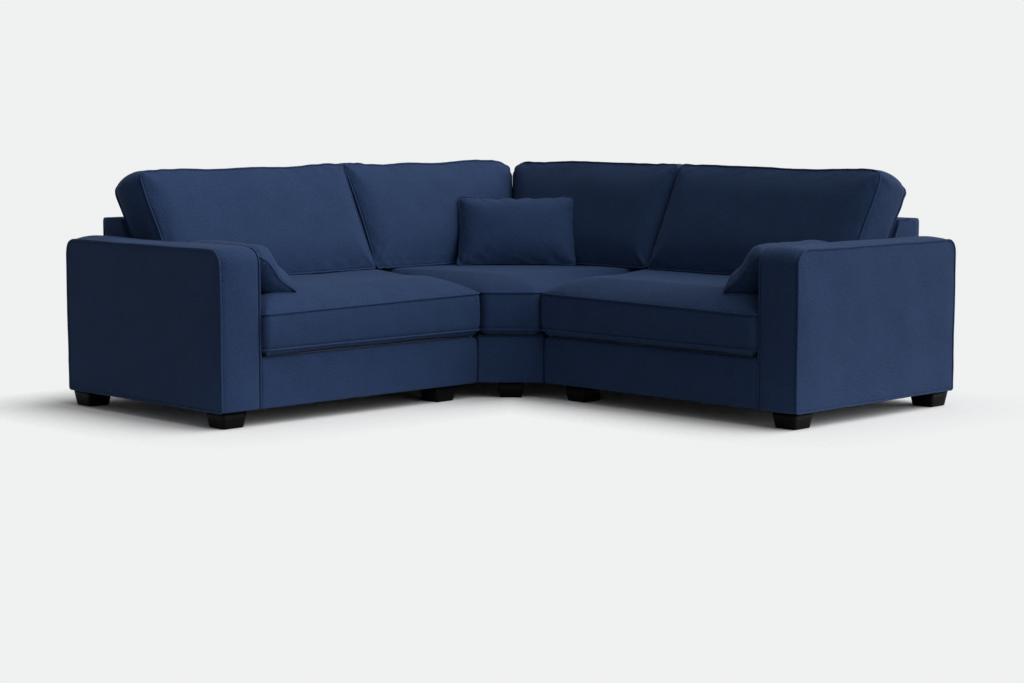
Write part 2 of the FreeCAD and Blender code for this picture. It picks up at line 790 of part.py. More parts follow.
# Cushions: lofts through outlines of lines and arcs, creased at their seams. Each pair below
# is a share of the way across a part of the cushion, and the inset of its outline there, which
# on scatter cushions is a share of their height.
SEAT_UNDERSIDE = [(0, 26), (0.5, 8), (1, 0)]
SEAT_BORDER = [(0.5, 2), (1, 0)]
SEAT_CROWN = [(0.42, 30), (0.78, 100), (1, 215)]
BACK_REAR = [(0, 16), (0.5, 3), (1, 0)]
BACK_BORDER = [(0.5, 4), (1, 0)]
BACK_CROWN = [(0.5, 34), (0.85, 90), (1, 160)]
SCATTER_HALF = [(0, 0), (0.4, 0.03), (0.78, 0.12), (1, 0.28)]

# How much of each inset a corner's radius grows by.
SEAT_GROWTH = 0.2
BACK_GROWTH = 0.3
SCATTER_GROWTH = 0.4

# Share of the crown's inset along a seat cushion's rear, where the back cushions press it,
# and along the sides of the corner cushion.
REAR_SHARE = 0.3
CORNER_SHARE = 0.8

BACK_REAR_DEPTH = 16
BACK_LOWER_RADIUS = 10
SCATTER_RADIUS = 9
SMALLEST_RADIUS = 4
FAR = 2000


def levels_of(spans):
    """Levels of a loft from (start, end, pairs) spans that follow each other."""
    return [
        (start + (end - start) * share, inset)
        for start, end, pairs in spans for share, inset in pairs
    ]


def above(level):
    """All the room over a level."""
    return Part.makeBox(2 * FAR, 2 * FAR, FAR, FreeCAD.Vector(-FAR, -FAR, level))


def outline(corners, radii, draws, place):
    """A closed wire with rounded corners whose sides are drawn in by small arcs."""
    count = len(corners)
    arcs = []
    for index, (point, radius) in enumerate(zip(corners, radii)):
        before = (corners[index - 1] - point).normalize()
        after = (corners[(index + 1) % count] - point).normalize()
        opening = before.getAngle(after)
        reach = radius / math.tan(opening / 2)
        centre_way = (before + after).normalize()
        centre = point + centre_way * (radius / math.sin(opening / 2))
        arcs.append((point + before * reach, centre - centre_way * radius, point + after * reach))
    edges = []
    for index in range(count):
        start, middle, end = (place(point) for point in arcs[index])
        edges.append(Part.Arc(start, middle, end).toShape())
        flat_start, flat_end = arcs[index][2], arcs[(index + 1) % count][0]
        along = (flat_end - flat_start).normalize()
        inward = FreeCAD.Vector(-along.y, along.x, 0)
        bow = (flat_start + flat_end) * 0.5 + inward * draws[index]
        if draws[index]:
            side = Part.Arc(place(flat_start), place(bow), place(flat_end))
        else:
            side = Part.LineSegment(place(flat_start), place(flat_end))
        edges.append(side.toShape())
    return Part.Wire(edges)


def creased(sections, seams):
    """One solid through all the sections, smooth between the seams and creased at them."""
    stops = [0] + seams + [len(sections) - 1]
    parts = []
    for start, end in zip(stops, stops[1:]):
        parts.append(Part.makeLoft(sections[start:end + 1], True, False))
    solid = parts[0]
    for part in parts[1:]:
        solid = solid.fuse(part)
    return solid


def seat_shape(plan, radii, faces, shrink):
    """Seat cushion: pulled-in underside, straight border, crowned top.

    faces names, for each side of the plan, how much of the crown's inset it takes: the rear
    sides take less, because the back cushions press the crown out to them.
    """
    low = s.base_top.value + s.rest_gap.value + shrink
    seam_low, seam_high = s.seat_low_seam.value, s.seat_high_seam.value
    crown = s.seat_crown.value - shrink
    levels = levels_of([
        (low, seam_low, SEAT_UNDERSIDE),
        (seam_low, seam_high, SEAT_BORDER),
        (seam_high, crown, SEAT_CROWN),
    ])
    sections = []
    for height, inset in levels:
        moved = inset_plan(plan, [inset * share + shrink for share in faces])
        corner_radii = [
            max(radius - shrink, SMALLEST_RADIUS) + inset * SEAT_GROWTH for radius in radii
        ]
        draws = [s.seat_draw.value] * len(plan)
        sections.append(outline(moved, corner_radii, draws,
                                lambda point, z=height: FreeCAD.Vector(point.x, point.y, z)))
    return creased(sections, [2, 4])


def inset_plan(plan, insets):
    """Moves each side of a plan inwards by its own inset and gives the new corners."""
    count = len(plan)
    lines = []
    for index in range(count):
        start, end = plan[index], plan[(index + 1) % count]
        along = (end - start).normalize()
        inward = FreeCAD.Vector(-along.y, along.x, 0)
        lines.append((start + inward * insets[index], along))
    corners = []
    for index in range(count):
        (p, u), (q, v) = lines[index - 1], lines[index]
        travel = ((q.x - p.x) * v.y - (q.y - p.y) * v.x) / (u.x * v.y - u.y * v.x)
        corners.append(p + u * travel)
    return corners


def flat_points(pairs):
    return [FreeCAD.Vector(a.value, b.value, 0) for a, b in pairs]


def wing_seat(shrink):
    low_x, high_x = arm_in + s.side_gap, join - s.side_gap / 2
    near_y, far_y = front - s.seat_overhang, seat_rear - s.side_gap
    plan = flat_points([(low_x, near_y), (high_x, near_y), (high_x, far_y), (low_x, far_y)])
    radii = [s.seat_radius.value] * 4
    return seat_shape(plan, radii, [1, 1, REAR_SHARE, 1], shrink)


def corner_seat(shrink):
    low, high = join + s.side_gap / 2, seat_rear - s.side_gap
    bevel = bevel_sum - s.seat_overhang * root_two
    plan = flat_points([
        (low, bevel - low), (bevel - low, low), (high, low), (high, high), (low, high),
    ])
    radii = [s.seat_radius.value] * 5
    shares = [CORNER_SHARE, CORNER_SHARE, REAR_SHARE, REAR_SHARE, CORNER_SHARE]
    return seat_shape(plan, radii, shares, shrink)


lean_angle = math.radians(s.back_lean.value)
seat_level = s.seat_crown.value + s.rest_gap.value
UP = FreeCAD.Vector(0, math.sin(lean_angle), math.cos(lean_angle))
OUT = FreeCAD.Vector(0, -math.cos(lean_angle), math.sin(lean_angle))


def back_cushion(low_x, high_x, shrink):
    """Boxed back cushion on the leaning face, cut level where it stands on the seat.

    high_x is None for the cushion that meets its twin on the plane x = y: its end then
    follows that plane.
    """
    foot = FreeCAD.Vector(0, face_y(as_size(seat_level), 0).value, seat_level)
    tall = s.back_height.value
    thick, swell = s.back_thickness.value, s.back_swell.value
    # The loft starts below the seat by more than its tilt brings up at the front.
    sunk = -thick * 0.6
    levels = levels_of([
        (s.rest_gap.value + shrink, BACK_REAR_DEPTH, BACK_REAR),
        (BACK_REAR_DEPTH, thick, BACK_BORDER),
        (thick, thick + swell - shrink, BACK_CROWN),
    ])
    sections = []
    for out, inset in levels:
        def end_at(rise):
            if high_x is not None:
                return high_x
            return foot.y + rise * UP.y + out * OUT.y - s.side_gap.value
        plan = [
            FreeCAD.Vector(low_x, sunk, 0), FreeCAD.Vector(end_at(sunk), sunk, 0),
            FreeCAD.Vector(end_at(tall), tall, 0), FreeCAD.Vector(low_x, tall, 0),
        ]
        moved = inset_plan(plan, [shrink, inset + shrink, inset + shrink, inset + shrink])
        inner = s.back_radius.value if high_x is not None else s.back_inner_radius.value
        growth = inset * BACK_GROWTH - shrink
        radii = [BACK_LOWER_RADIUS, BACK_LOWER_RADIUS, inner + growth, s.back_radius.value + growth]
        draws = [0, s.back_draw.value, 0, s.back_draw.value]
        sections.append(outline(
            moved, radii, draws,
            lambda p, o=out: FreeCAD.Vector(p.x, foot.y, foot.z) + UP * p.y + OUT * o))
    return creased(sections, [2, 4]).common(above(seat_level + shrink))


def scatter_shape(width, tall, place):
    """Knife-edged cushion: two crowned halves that meet in one drawn-in edge.

    It is cut level where it is pressed flat on the seat.
    """
    wide = width / 2
    plan = [
        FreeCAD.Vector(-wide, 0, 0), FreeCAD.Vector(wide, 0, 0),
        FreeCAD.Vector(wide, tall, 0), FreeCAD.Vector(-wide, tall, 0),
    ]
    halves = []
    for side in (1, -1):
        sections = []
        for share, part in SCATTER_HALF:
            out = side * share * s.scatter_thickness.value / 2
            inset = part * tall
            moved = inset_plan(plan, [inset] * 4)
            draws = [s.scatter_draw.value * (1 - share * 0.7)] * 4
            sections.append(outline(moved, [SCATTER_RADIUS + inset * SCATTER_GROWTH] * 4, draws,
                                    lambda p, o=out: place(p.x, p.y, o)))
        halves.append(Part.makeLoft(sections, True, False))
    return halves[0].fuse(halves[1]).common(above(seat_level))


def lumbar_cushion():
    """Across the inner corner, leaning on both corner back cushions.

    Its lean is that of the line where their two faces meet.
    """
    lean = math.atan(math.tan(lean_angle) * root_two)
    across = FreeCAD.Vector(1, -1, 0).normalize()
    inward = FreeCAD.Vector(1, 1, 0).normalize()
    up = inward * math.sin(lean) + FreeCAD.Vector(0, 0, math.cos(lean))
    out = FreeCAD.Vector(0, 0, math.sin(lean)) - inward * math.cos(lean)
    swell = (s.back_thickness.value + s.back_swell.value + s.rest_gap.value) / math.cos(lean_angle)
    face = face_y(as_size(seat_level), 0).value - swell
    # The left bottom corner lies at (middle - w, middle + w), and its y is that of the face.
    middle = face - (s.lumbar_width.value / 2 + s.lumbar_clearance.value) / root_two
    foot = FreeCAD.Vector(middle, middle, seat_level)
    return scatter_shape(s.lumbar_width.value, s.lumbar_height.value,
                         lambda a, b, c: foot + across * a + up * b + out * c)


def arm_cushion():
    """On the seat beside the arm, its upper edge against the arm's inner side."""
    tall = s.arm_cushion_height.value
    lean = math.acos((s.arm_cushion_top.value - seat_level) / tall)
    up = FreeCAD.Vector(-math.sin(lean), 0, math.cos(lean))
    out = FreeCAD.Vector(math.cos(lean), 0, math.sin(lean))
    along = FreeCAD.Vector(0, 1, 0)
    foot_x = arm_in.value + s.arm_cushion_clearance.value + tall * math.sin(lean)
    middle_y = seat_rear.value - s.arm_cushion_rear.value - s.arm_cushion_width.value / 2
    foot = FreeCAD.Vector(foot_x, middle_y, seat_level)
    return scatter_shape(s.arm_cushion_width.value, tall,
                         lambda a, b, c: foot + along * a + up * b + out * c)


def cushion_pair(name, shape_at):
    """A cover with its cavity, and the filling inside it."""
    cloth, gap = s.cloth.value, s.fill_gap.value
    cover = shape_at(0).cut(shape_at(cloth))
    return {
        name: shaped(name, cover),
        f"{name}_filling": shaped(f"{name}_filling", shape_at(cloth + gap)),
    }


def on_both_wings(pieces):
    """Keeps each piece of the first wing and its mirror image on the second."""
    for name, piece in pieces.items():
        keep(f"left_{name}", piece)
        keep(f"right_{name}", mirrored(f"right_{name}", piece))


on_both_wings(arm())

wing_board = s.board_thickness
wing_spring_places = spring_places(arm_in + wing_board, frame_join - wing_board, s.wing_springs)
corner_spring_places = spring_places(
    rail_bevel_sum - corner_in, toe_rear - wing_board, s.corner_springs)
rear_clip = toe_rear
front_clip = frame_front
corner_front_clip = corner_in

upright_places = [
    arm_in + s.cover_thickness,
    (arm_in + frame_join) / 2 - wing_board / 2,
    frame_join - wing_board,
]
wing_dust = box("wing_dust_sheet", (-half + s.cover_thickness, frame_front, s.foot_height),
                (frame_join, arm_rear - s.cover_thickness, frame_bottom))
on_both_wings({
    "feet": group("wing_feet", [
        foot(f"foot_{place}", middle) for place, middle in wing_feet.items()]),
    "foot_blocks": group("wing_foot_blocks", wing_blocks()),
    "base_rails": pierced("wing_base_rails", group("wing_rail_set", wing_rails()),
                          screw_holes(wing_screws)),
    "seat_springs": shaped("wing_springs", springs_at(wing_spring_places, front_clip, rear_clip)),
    "deck_felt": box("wing_deck", (arm_in, frame_front, deck_bottom),
                     (frame_join, toe_rear, s.base_top)),
    "dust_cloth": pierced("wing_dust", wing_dust,
                          bolt_holes(wing_feet.values()) + screw_holes(wing_screws)),
    "base_cover": wing_cover(),
    "back_frame": group("wing_back_frame", uprights("upright", upright_places)
                        + rails_between("wing_rail", upright_places, frame_join)),
    "back_webbing": group("wing_webs", webs(
        "web", arm_in + s.cover_thickness, frame_join, s.wing_webs)),
    "back_cover": wing_back_cover(),
})

on_both_wings(cushion_pair("seat_cushion", wing_seat))
outer_end = (arm_in + s.back_arm_gap).value
cushion_joint = join - s.back_overlap
on_both_wings(cushion_pair("back_cushion", lambda shrink: back_cushion(
    outer_end, (cushion_joint - s.side_gap / 2).value, shrink)))
on_both_wings(cushion_pair("corner_back_cushion", lambda shrink: back_cushion(
    (cushion_joint + s.side_gap / 2).value, None, shrink)))
on_both_wings({"arm_cushion": shaped("arm_cushion", arm_cushion())})

corner_ups = [corner_in, corner_in + (seat_rear - corner_in) / 2]
corner_up_posts = uprights("corner_upright", corner_ups)
corner_rails_a = rails_between("corner_rail", corner_ups, frame_rear)
corner_rails_b = rails_between(
    "corner_rail_b", corner_ups, face_y(waist_bottom, s.cover_thickness + s.web_thickness))
corner_webs = webs("corner_web", corner_in, seat_rear, s.corner_webs)
corner_dust = pad("corner_dust_sheet", "XY_Plane",
                  bevelled(corner_in, frame_rear, frame_bevel_sum), s.foot_height, frame_bottom)

keep("corner_feet", group("corner_feet", [
    foot(f"corner_foot_{place}", middle, 45 if place == "bevel" else 0)
    for place, middle in corner_feet.items()]))
keep("corner_foot_blocks", group("corner_foot_blocks", corner_blocks()))
all_corner_screws = corner_screws + [(y, x) for x, y in corner_screws]
keep("corner_base_rails", pierced(
    "corner_base_rails", group("corner_rail_set", corner_rails()), screw_holes(all_corner_screws)))
keep("corner_seat_springs", shaped("corner_springs", springs_at(
    corner_spring_places, corner_front_clip, rear_clip)))
keep("corner_deck_felt", pad("corner_deck", "XY_Plane",
                             bevelled(corner_in, toe_rear, frame_bevel_sum),
                             deck_bottom, s.base_top))
keep("corner_dust_cloth", pierced("corner_dust", corner_dust,
                                  bolt_holes(corner_feet.values()) + screw_holes(all_corner_screws)))
keep("corner_base_cover", corner_cover())
keep("corner_back_frame", group("corner_back_frame", corner_up_posts + [
    mirrored(f"corner_upright_m{index}", post) for index, post in enumerate(corner_up_posts)
] + corner_rails_a + [
    mirrored(f"corner_rail_m{index}", rail) for index, rail in enumerate(corner_rails_b)
]))
keep("corner_back_webbing", group("corner_back_webbing", corner_webs + [
    mirrored(f"corner_web_m{index}", web) for index, web in enumerate(corner_webs)]))
keep("corner_back_cover", corner_back_cover())
for name, piece in cushion_pair("corner_seat_cushion", corner_seat).items():
    keep(name, piece)
keep("lumbar_cushion", shaped("lumbar_cushion", lumbar_cushion()))

# Fasteners: one node for each kind.

wing_clips = group("wing_clips", clips_at("wing_clip", wing_spring_places, front_clip, rear_clip))
corner_clips = clips_at("corner_clip", corner_spring_places, corner_front_clip, rear_clip)
keep("spring_clips", group("spring_clips", [
    wing_clips, mirrored("right_clips", wing_clips)] + corner_clips))

wing_bolts = group("wing_bolts", [
    bolt(f"bolt_{place}", middle) for place, middle in wing_feet.items()])
keep("foot_bolts", group("foot_bolts", [wing_bolts, mirrored("right_bolts", wing_bolts)] + [
    bolt(f"corner_bolt_{place}", middle) for place, middle in corner_feet.items()]))

wing_nuts = group("wing_nuts", [
    tee_nut(f"nut_{place}", middle) for place, middle in wing_feet.items()])
keep("foot_tee_nuts", group("foot_tee_nuts", [wing_nuts, mirrored("right_nuts", wing_nuts)] + [
    tee_nut(f"corner_nut_{place}", middle) for place, middle in corner_feet.items()]))


link_group = group("wing_links", [
    link_plate(f"link_{index}", row) for index, row in enumerate(link_rows)])
keep("link_plates", group("link_plates", [link_group, mirrored("right_links", link_group)]))

screw_group = group("wing_screws", [
    link_screw(f"link_screw_{index}", middle)
    for index, middle in enumerate(wing_screws + corner_screws)])
keep("link_screws", group("link_screws", [screw_group, mirrored("right_screws", screw_group)]))

doc.recompute()
problems = []
for item in doc.Objects:
    if "Invalid" in item.State or "Error" in item.State:
        problems.append(f"{item.Name}: {item.State}")
for name, item in nodes.items():
    if item.Shape.isNull() or not item.Shape.isValid() or not item.Shape.Solids:
        problems.append(f"{name}: no valid solid")
if problems:
    raise RuntimeError("; ".join(problems))

os.makedirs("parts", exist_ok=True)
for name, item in nodes.items():
    item.Shape.exportStep(f"parts/{name}.step")
    solids = item.Shape.Solids
    print(f"{name}: {len(solids)} solids, {sum(one.Volume for one in solids) / 1e6:.4f} l")
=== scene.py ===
import math
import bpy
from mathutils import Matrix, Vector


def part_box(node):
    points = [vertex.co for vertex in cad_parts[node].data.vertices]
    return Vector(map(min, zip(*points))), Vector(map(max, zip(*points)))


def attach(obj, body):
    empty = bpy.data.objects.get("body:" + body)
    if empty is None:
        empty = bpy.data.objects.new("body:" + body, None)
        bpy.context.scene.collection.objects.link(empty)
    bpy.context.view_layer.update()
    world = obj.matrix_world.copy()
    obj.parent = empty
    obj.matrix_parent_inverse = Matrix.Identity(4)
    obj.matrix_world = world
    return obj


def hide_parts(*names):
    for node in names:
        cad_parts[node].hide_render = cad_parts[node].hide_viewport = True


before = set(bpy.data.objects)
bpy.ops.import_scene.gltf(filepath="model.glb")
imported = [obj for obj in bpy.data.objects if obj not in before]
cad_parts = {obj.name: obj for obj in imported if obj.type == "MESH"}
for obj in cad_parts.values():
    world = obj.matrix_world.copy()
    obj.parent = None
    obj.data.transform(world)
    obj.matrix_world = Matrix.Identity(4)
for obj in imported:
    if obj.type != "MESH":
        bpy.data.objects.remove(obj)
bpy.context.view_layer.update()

from types import SimpleNamespace

import bmesh
import bpy
import numpy as np
from mathutils import Vector

bl_info = {
    "name": "Corner sofa",
    "version": (1, 0, 0),
    "blender": (4, 5, 0),
    "location": "3D View > Sidebar > Sofa",
    "description": "Upholstery, loose cushions and feet of a navy corner sofa",
    "category": "Object",
}

# Places shared by many pieces, in metres. The left wing runs along X, and the right wing is
# the left one with X and Y exchanged.
ARM_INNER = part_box("left_arm_inner_panel")[1][0]
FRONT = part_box("left_arm_inner_panel")[0][1]
ARM_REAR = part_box("left_arm_outer_panel")[1][1]
ARM_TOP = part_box("left_arm_outer_panel")[1][2]
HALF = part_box("left_back_cover")[1][1]
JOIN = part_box("left_back_cover")[1][0]
BASE_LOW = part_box("left_base_cover")[0][2]
BASE_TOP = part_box("left_base_cover")[1][2]
BACK_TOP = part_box("left_back_cover")[1][2]
SEAT_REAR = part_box("left_seat_cushion")[1][1]
SEAT_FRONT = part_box("left_seat_cushion")[0][1]
SEAT_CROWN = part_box("left_seat_cushion")[1][2]
SEAT_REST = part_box("left_seat_cushion")[0][2]
COVER = 0.012
LEAN = math.radians(26)
BACK_TOP_DEPTH = 0.125
BACK_TOE = 0.25
ROOT_TWO = math.sqrt(2)
UP_LEAN = np.array([0, math.sin(LEAN), math.cos(LEAN)])
OUT_LEAN = np.array([0, -math.cos(LEAN), math.sin(LEAN)])


class SofaSizes(bpy.types.PropertyGroup):
    """Sizes of the sofa's soft parts that a user would change."""

    piping: bpy.props.FloatProperty(
        name="Piping radius", description="Radius of the self piping along the seams",
        default=0.0042, min=0.001, max=0.01, unit="LENGTH")
    seat_low_seam: bpy.props.FloatProperty(
        name="Lower seat seam", description="Floor to the lower seam of the seat cushions",
        default=0.276, unit="LENGTH")
    seat_high_seam: bpy.props.FloatProperty(
        name="Upper seat seam", description="Floor to the upper seam of the seat cushions",
        default=0.422, unit="LENGTH")
    back_thickness: bpy.props.FloatProperty(
        name="Back cushion thickness", description="Between the two seams of a back cushion",
        default=0.190, unit="LENGTH")
    back_height: bpy.props.FloatProperty(
        name="Back cushion height", description="Above the seat, along the lean",
        default=0.384, unit="LENGTH")
    back_crown: bpy.props.FloatProperty(
        name="Back cushion crown", description="Swell of the front of a back cushion",
        default=0.028, unit="LENGTH")
    arm_swell: bpy.props.FloatProperty(
        name="Arm swell", description="Swell of the strip over the arm",
        default=0.010, unit="LENGTH")
    pressure: bpy.props.FloatProperty(
        name="Filling pressure", description="How hard the filling presses on the covers",
        default=4.0, min=0.0, max=20.0)
    thread: bpy.props.FloatProperty(
        name="Thread pitch", description="Distance between two threads of the weave",
        default=0.0016, min=0.0005, max=0.01, unit="LENGTH")


class SofaColours(bpy.types.PropertyGroup):
    """Colours of the sofa's finishes, as linear values."""

    cloth: bpy.props.FloatVectorProperty(
        name="Cloth", description="Navy cloth of the whole sofa", subtype="COLOR",
        default=(0.0172, 0.0380, 0.0975), min=0.0, max=1.0)
    feet: bpy.props.FloatVectorProperty(
        name="Feet", description="Black lacquer of the feet", subtype="COLOR",
        default=(0.0016, 0.0015, 0.0015), min=0.0, max=1.0)
    floor: bpy.props.FloatVectorProperty(
        name="Floor", description="Pale studio floor", subtype="COLOR",
        default=(0.895, 0.90, 0.90), min=0.0, max=1.0)


def sizes():
    return bpy.context.scene.sofa_sizes


def colours():
    return bpy.context.scene.sofa_colours


# Shader maths as Python expressions.

class Signal:
    """A number socket; an expression on signals adds its Math nodes."""

    def __init__(self, shader, socket):
        self.shader = shader
        self.socket = socket

    def _with(self, operation, *values):
        return self.shader.math(operation, *values)

    def __add__(self, other):
        return self._with("ADD", self, other)

    __radd__ = __add__

    def __sub__(self, other):
        return self._with("SUBTRACT", self, other)

    def __rsub__(self, other):
        return self._with("SUBTRACT", other, self)

    def __mul__(self, other):
        return self._with("MULTIPLY", self, other)

    __rmul__ = __mul__


class Shader:
    """The node tree of one material, with its Principled shader."""

    def __init__(self, name, roughness, **constants):
        self.material = bpy.data.materials.new(name)
        self.material.use_nodes = True
        self.tree = self.material.node_tree
        self.surface = self.tree.nodes["Principled BSDF"]
        self.surface.inputs["Roughness"].default_value = roughness
        for socket, value in constants.items():
            self.surface.inputs[socket.replace("_", " ")].default_value = value

    def node(self, kind, settings=None, **values):
        """A node of a type, its settings first, then the values or links of its sockets.

        A socket goes by its name, with _ for a space, or by i and its index.
        """
        made = self.tree.nodes.new(kind)
        for key, setting in (settings or {}).items():
            setattr(made, key, setting)
        for socket, value in values.items():
            index = socket[1:]
            self.feed(made.inputs[int(index) if index.isdigit() else socket.replace("_", " ")], value)
        return made

    def feed(self, entry, value):
        if isinstance(value, Signal):
            value = value.socket
        if isinstance(value, bpy.types.NodeSocket):
            self.tree.links.new(value, entry)
        else:
            entry.default_value = value

    def math(self, operation, *values):
        made = self.node("ShaderNodeMath", {"operation": operation})
        for entry, value in zip(made.inputs, values):
            self.feed(entry, value)
        return Signal(self, made.outputs[0])

    def mix(self, factor, first, second):
        """One colour blended into another."""
        made = self.node("ShaderNodeMix", {"data_type": "RGBA"})
        self.feed(made.inputs[0], factor)
        for entry, colour in ((made.inputs[6], first), (made.inputs[7], second)):
            self.feed(entry, (*colour, 1) if isinstance(colour, (tuple, list)) else colour)
        return made.outputs[2]

    def scaled(self, vector, factors):
        """A vector socket multiplied by three numbers."""
        made = self.node("ShaderNodeVectorMath", {"operation": "MULTIPLY"}, i0=vector, i1=factors)
        return made.outputs[0]

    def noise(self, vector, scale, detail=2.0, roughness=0.5):
        made = self.node("ShaderNodeTexNoise", None, Vector=vector, Scale=scale, Detail=detail,
                         Roughness=roughness)
        return Signal(self, made.outputs[0])

    def place(self):
        return self.node("ShaderNodeTexCoord").outputs["Object"]

    def uv(self):
        return self.node("ShaderNodeUVMap", {"uv_map": "cloth"}).outputs[0]

    def split(self, vector):
        made = self.node("ShaderNodeSeparateXYZ", None, i0=vector)
        return [Signal(self, output) for output in made.outputs]

    def bump(self, height, distance, strength):
        made = self.node("ShaderNodeBump", None, Strength=strength, Distance=distance,
                         Height=height)
        self.tree.links.new(made.outputs[0], self.surface.inputs["Normal"])

    def give(self, socket, value):
        self.feed(self.surface.inputs[socket], value)


def shade(colour, factor):
    """A colour made lighter or darker."""
    return tuple(min(part * factor, 1) for part in colour)


MADE = {}


def made_once(make):
    """A finish whose material is made at its first use and shared after that."""
    def shared(name, *looks):
        if name not in MADE:
            MADE[name] = make(name, *looks).material
        return MADE[name]

    return shared


@made_once
def woven(name, colour):
    """Plain-woven cloth in the piece's own UVs, which are in metres.

    The warp is the ridge |sin| across u and the weft the ridge across v; the sign of the
    product of their sines says which lies on top. Slubs are noise stretched along each
    thread, and broad noise shifts the dye a little. The colour darkens where the weave
    is low: painted shade in the grooves between the threads.
    """
    cloth = Shader(name, 0.88, Sheen_Weight=0.06, Sheen_Roughness=0.45,
                   Sheen_Tint=(0.45, 0.58, 0.85, 1), Specular_IOR_Level=0.12)
    surface = cloth.uv()
    u, v, _ = cloth.split(surface)
    turn = math.pi / sizes().thread
    across = cloth.math("SINE", u * turn)
    along = cloth.math("SINE", v * turn)
    over = cloth.math("GREATER_THAN", across * along, 0.0)
    warp = cloth.math("ABSOLUTE", across)
    weft = cloth.math("ABSOLUTE", along)
    height = over * (warp * 0.6 + 0.4) + (1 - over) * (weft * 0.6 + 0.4)
    slub_warp = cloth.noise(cloth.scaled(surface, (900, 28, 1)), 1.0, 2.0)
    slub_weft = cloth.noise(cloth.scaled(surface, (28, 900, 1)), 1.0, 2.0)
    slub = over * slub_warp + (1 - over) * slub_weft
    dye = cloth.noise(surface, 9.0, 3.0)
    fleck = cloth.noise(surface, 175.0, 2.0, 0.7)
    light = (slub - 0.5) * 1.5 + (dye - 0.5) * 0.55 + (fleck - 0.5) * 2.6 + 0.5
    tone = cloth.mix(cloth.math("MAXIMUM", cloth.math("MINIMUM", light, 1.0), 0.0),
                     shade(colour, 0.66), shade(colour, 1.42))
    # Painted shade: the colour is darker where the weave's height is low, in the grooves between threads.
    tone_with_painted_groove_shade = cloth.mix(height, shade(colour, 0.55), tone)
    cloth.give("Base Color", tone_with_painted_groove_shade)
    cloth.give("Roughness", 0.93 - height * 0.1)
    cloth.bump(height + slub * 0.5 + fleck * 0.3, 0.0006, 0.55)
    return cloth


@made_once
def lacquered(name, colour):
    """Black lacquer over wood: faint grain, soft handling marks in the gloss."""
    coat = Shader(name, 0.5, Specular_IOR_Level=0.06)
    place = coat.place()
    grain = coat.noise(coat.scaled(place, (60, 60, 9)), 4.0, 4.0)
    marks = coat.noise(place, 22.0, 3.0)
    coat.give("Base Color", coat.mix(grain, shade(colour, 0.7), shade(colour, 1.5)))
    coat.give("Roughness", marks * 0.16 + 0.42)
    coat.bump(grain + marks * 0.3, 0.0004, 0.25)
    return coat


@made_once
def board(name):
    """Plain sawn softwood with stretched grain and saw marks."""
    wood = Shader(name, 0.7)
    place = wood.place()
    drift = wood.noise(wood.scaled(place, (3, 3, 24)), 2.0, 3.0)
    grain = wood.noise(wood.scaled(place, (9, 9, 90)), 3.0, 5.0, 0.6)
    dark, light = (0.42, 0.27, 0.13), (0.72, 0.55, 0.34)
    wood.give("Base Color", wood.mix(grain * 0.6 + drift * 0.4, dark, light))
    wood.give("Roughness", grain * 0.2 + 0.6)
    wood.bump(grain, 0.0008, 0.4)
    return wood


@made_once
def steel(name):
    """Bright zinc-plated steel with fine scratches."""
    metal = Shader(name, 0.35, Metallic=1.0)
    place = metal.place()
    scratch = metal.noise(metal.scaled(place, (40, 400, 40)), 3.0, 3.0)
    metal.give("Base Color", metal.mix(scratch, (0.46, 0.46, 0.47), (0.68, 0.68, 0.7)))
    metal.give("Roughness", scratch * 0.25 + 0.25)
    metal.bump(scratch, 0.0002, 0.3)
    return metal


@made_once
def matted(name, dark, light, scale, rough=0.95):
    """Felt, fleece and non-woven cloth: two tones of tangled fibre on Object coordinates."""
    fleece = Shader(name, rough, Sheen_Weight=0.15)
    place = fleece.place()
    fibre = fleece.noise(place, scale, 6.0, 0.75)
    cloud = fleece.noise(place, 14.0, 2.0)
    fleece.give("Base Color", fleece.mix(fibre * 0.75 + cloud * 0.25, dark, light))
    fleece.bump(fibre, 0.0012, 0.5)
    return fleece


# Curves and surfaces, worked out as whole arrays.

def ripple(points, seed, wavelength, amplitude):
    """Smooth unevenness: a mean of plane sine waves with random directions and phases."""
    draw = np.random.default_rng(seed)
    waves = 7
    ways = draw.normal(size=(3, waves))
    ways /= np.linalg.norm(ways, axis=0)
    rates = 2 * math.pi / wavelength * draw.uniform(0.6, 1.5, waves)
    phases = draw.uniform(0, 2 * math.pi, waves)
    return amplitude * np.sin(points @ (ways * rates) + phases).sum(axis=1) / math.sqrt(waves)


def seam_spacing(steps):
    """Shares from 0 to 1, closer at both ends: t - 0.6 sin(2 pi t) / (2 pi)."""
    share = np.linspace(0, 1, steps + 1)
    return share - 0.6 * np.sin(2 * math.pi * share) / (2 * math.pi)


def run_of(line):
    """Length along a line from its start to each of its points."""
    return np.concatenate([[0], np.cumsum(np.linalg.norm(np.diff(line, axis=0), axis=1))])


def points_at(line, length, places):
    """Points of a line at some lengths along it."""
    return np.stack([np.interp(places, length, part) for part in line.T], axis=1)


def corner_at(points, i, radius):
    """Directions to a corner's two neighbours, the angle between them and its arc's reach."""
    before = points[i - 1] - points[i]
    after = points[(i + 1) % len(points)] - points[i]
    before /= np.linalg.norm(before)
    after /= np.linalg.norm(after)
    bend = math.acos(np.clip(before @ after, -1, 1))
    return before, after, bend, radius / math.tan(bend / 2)


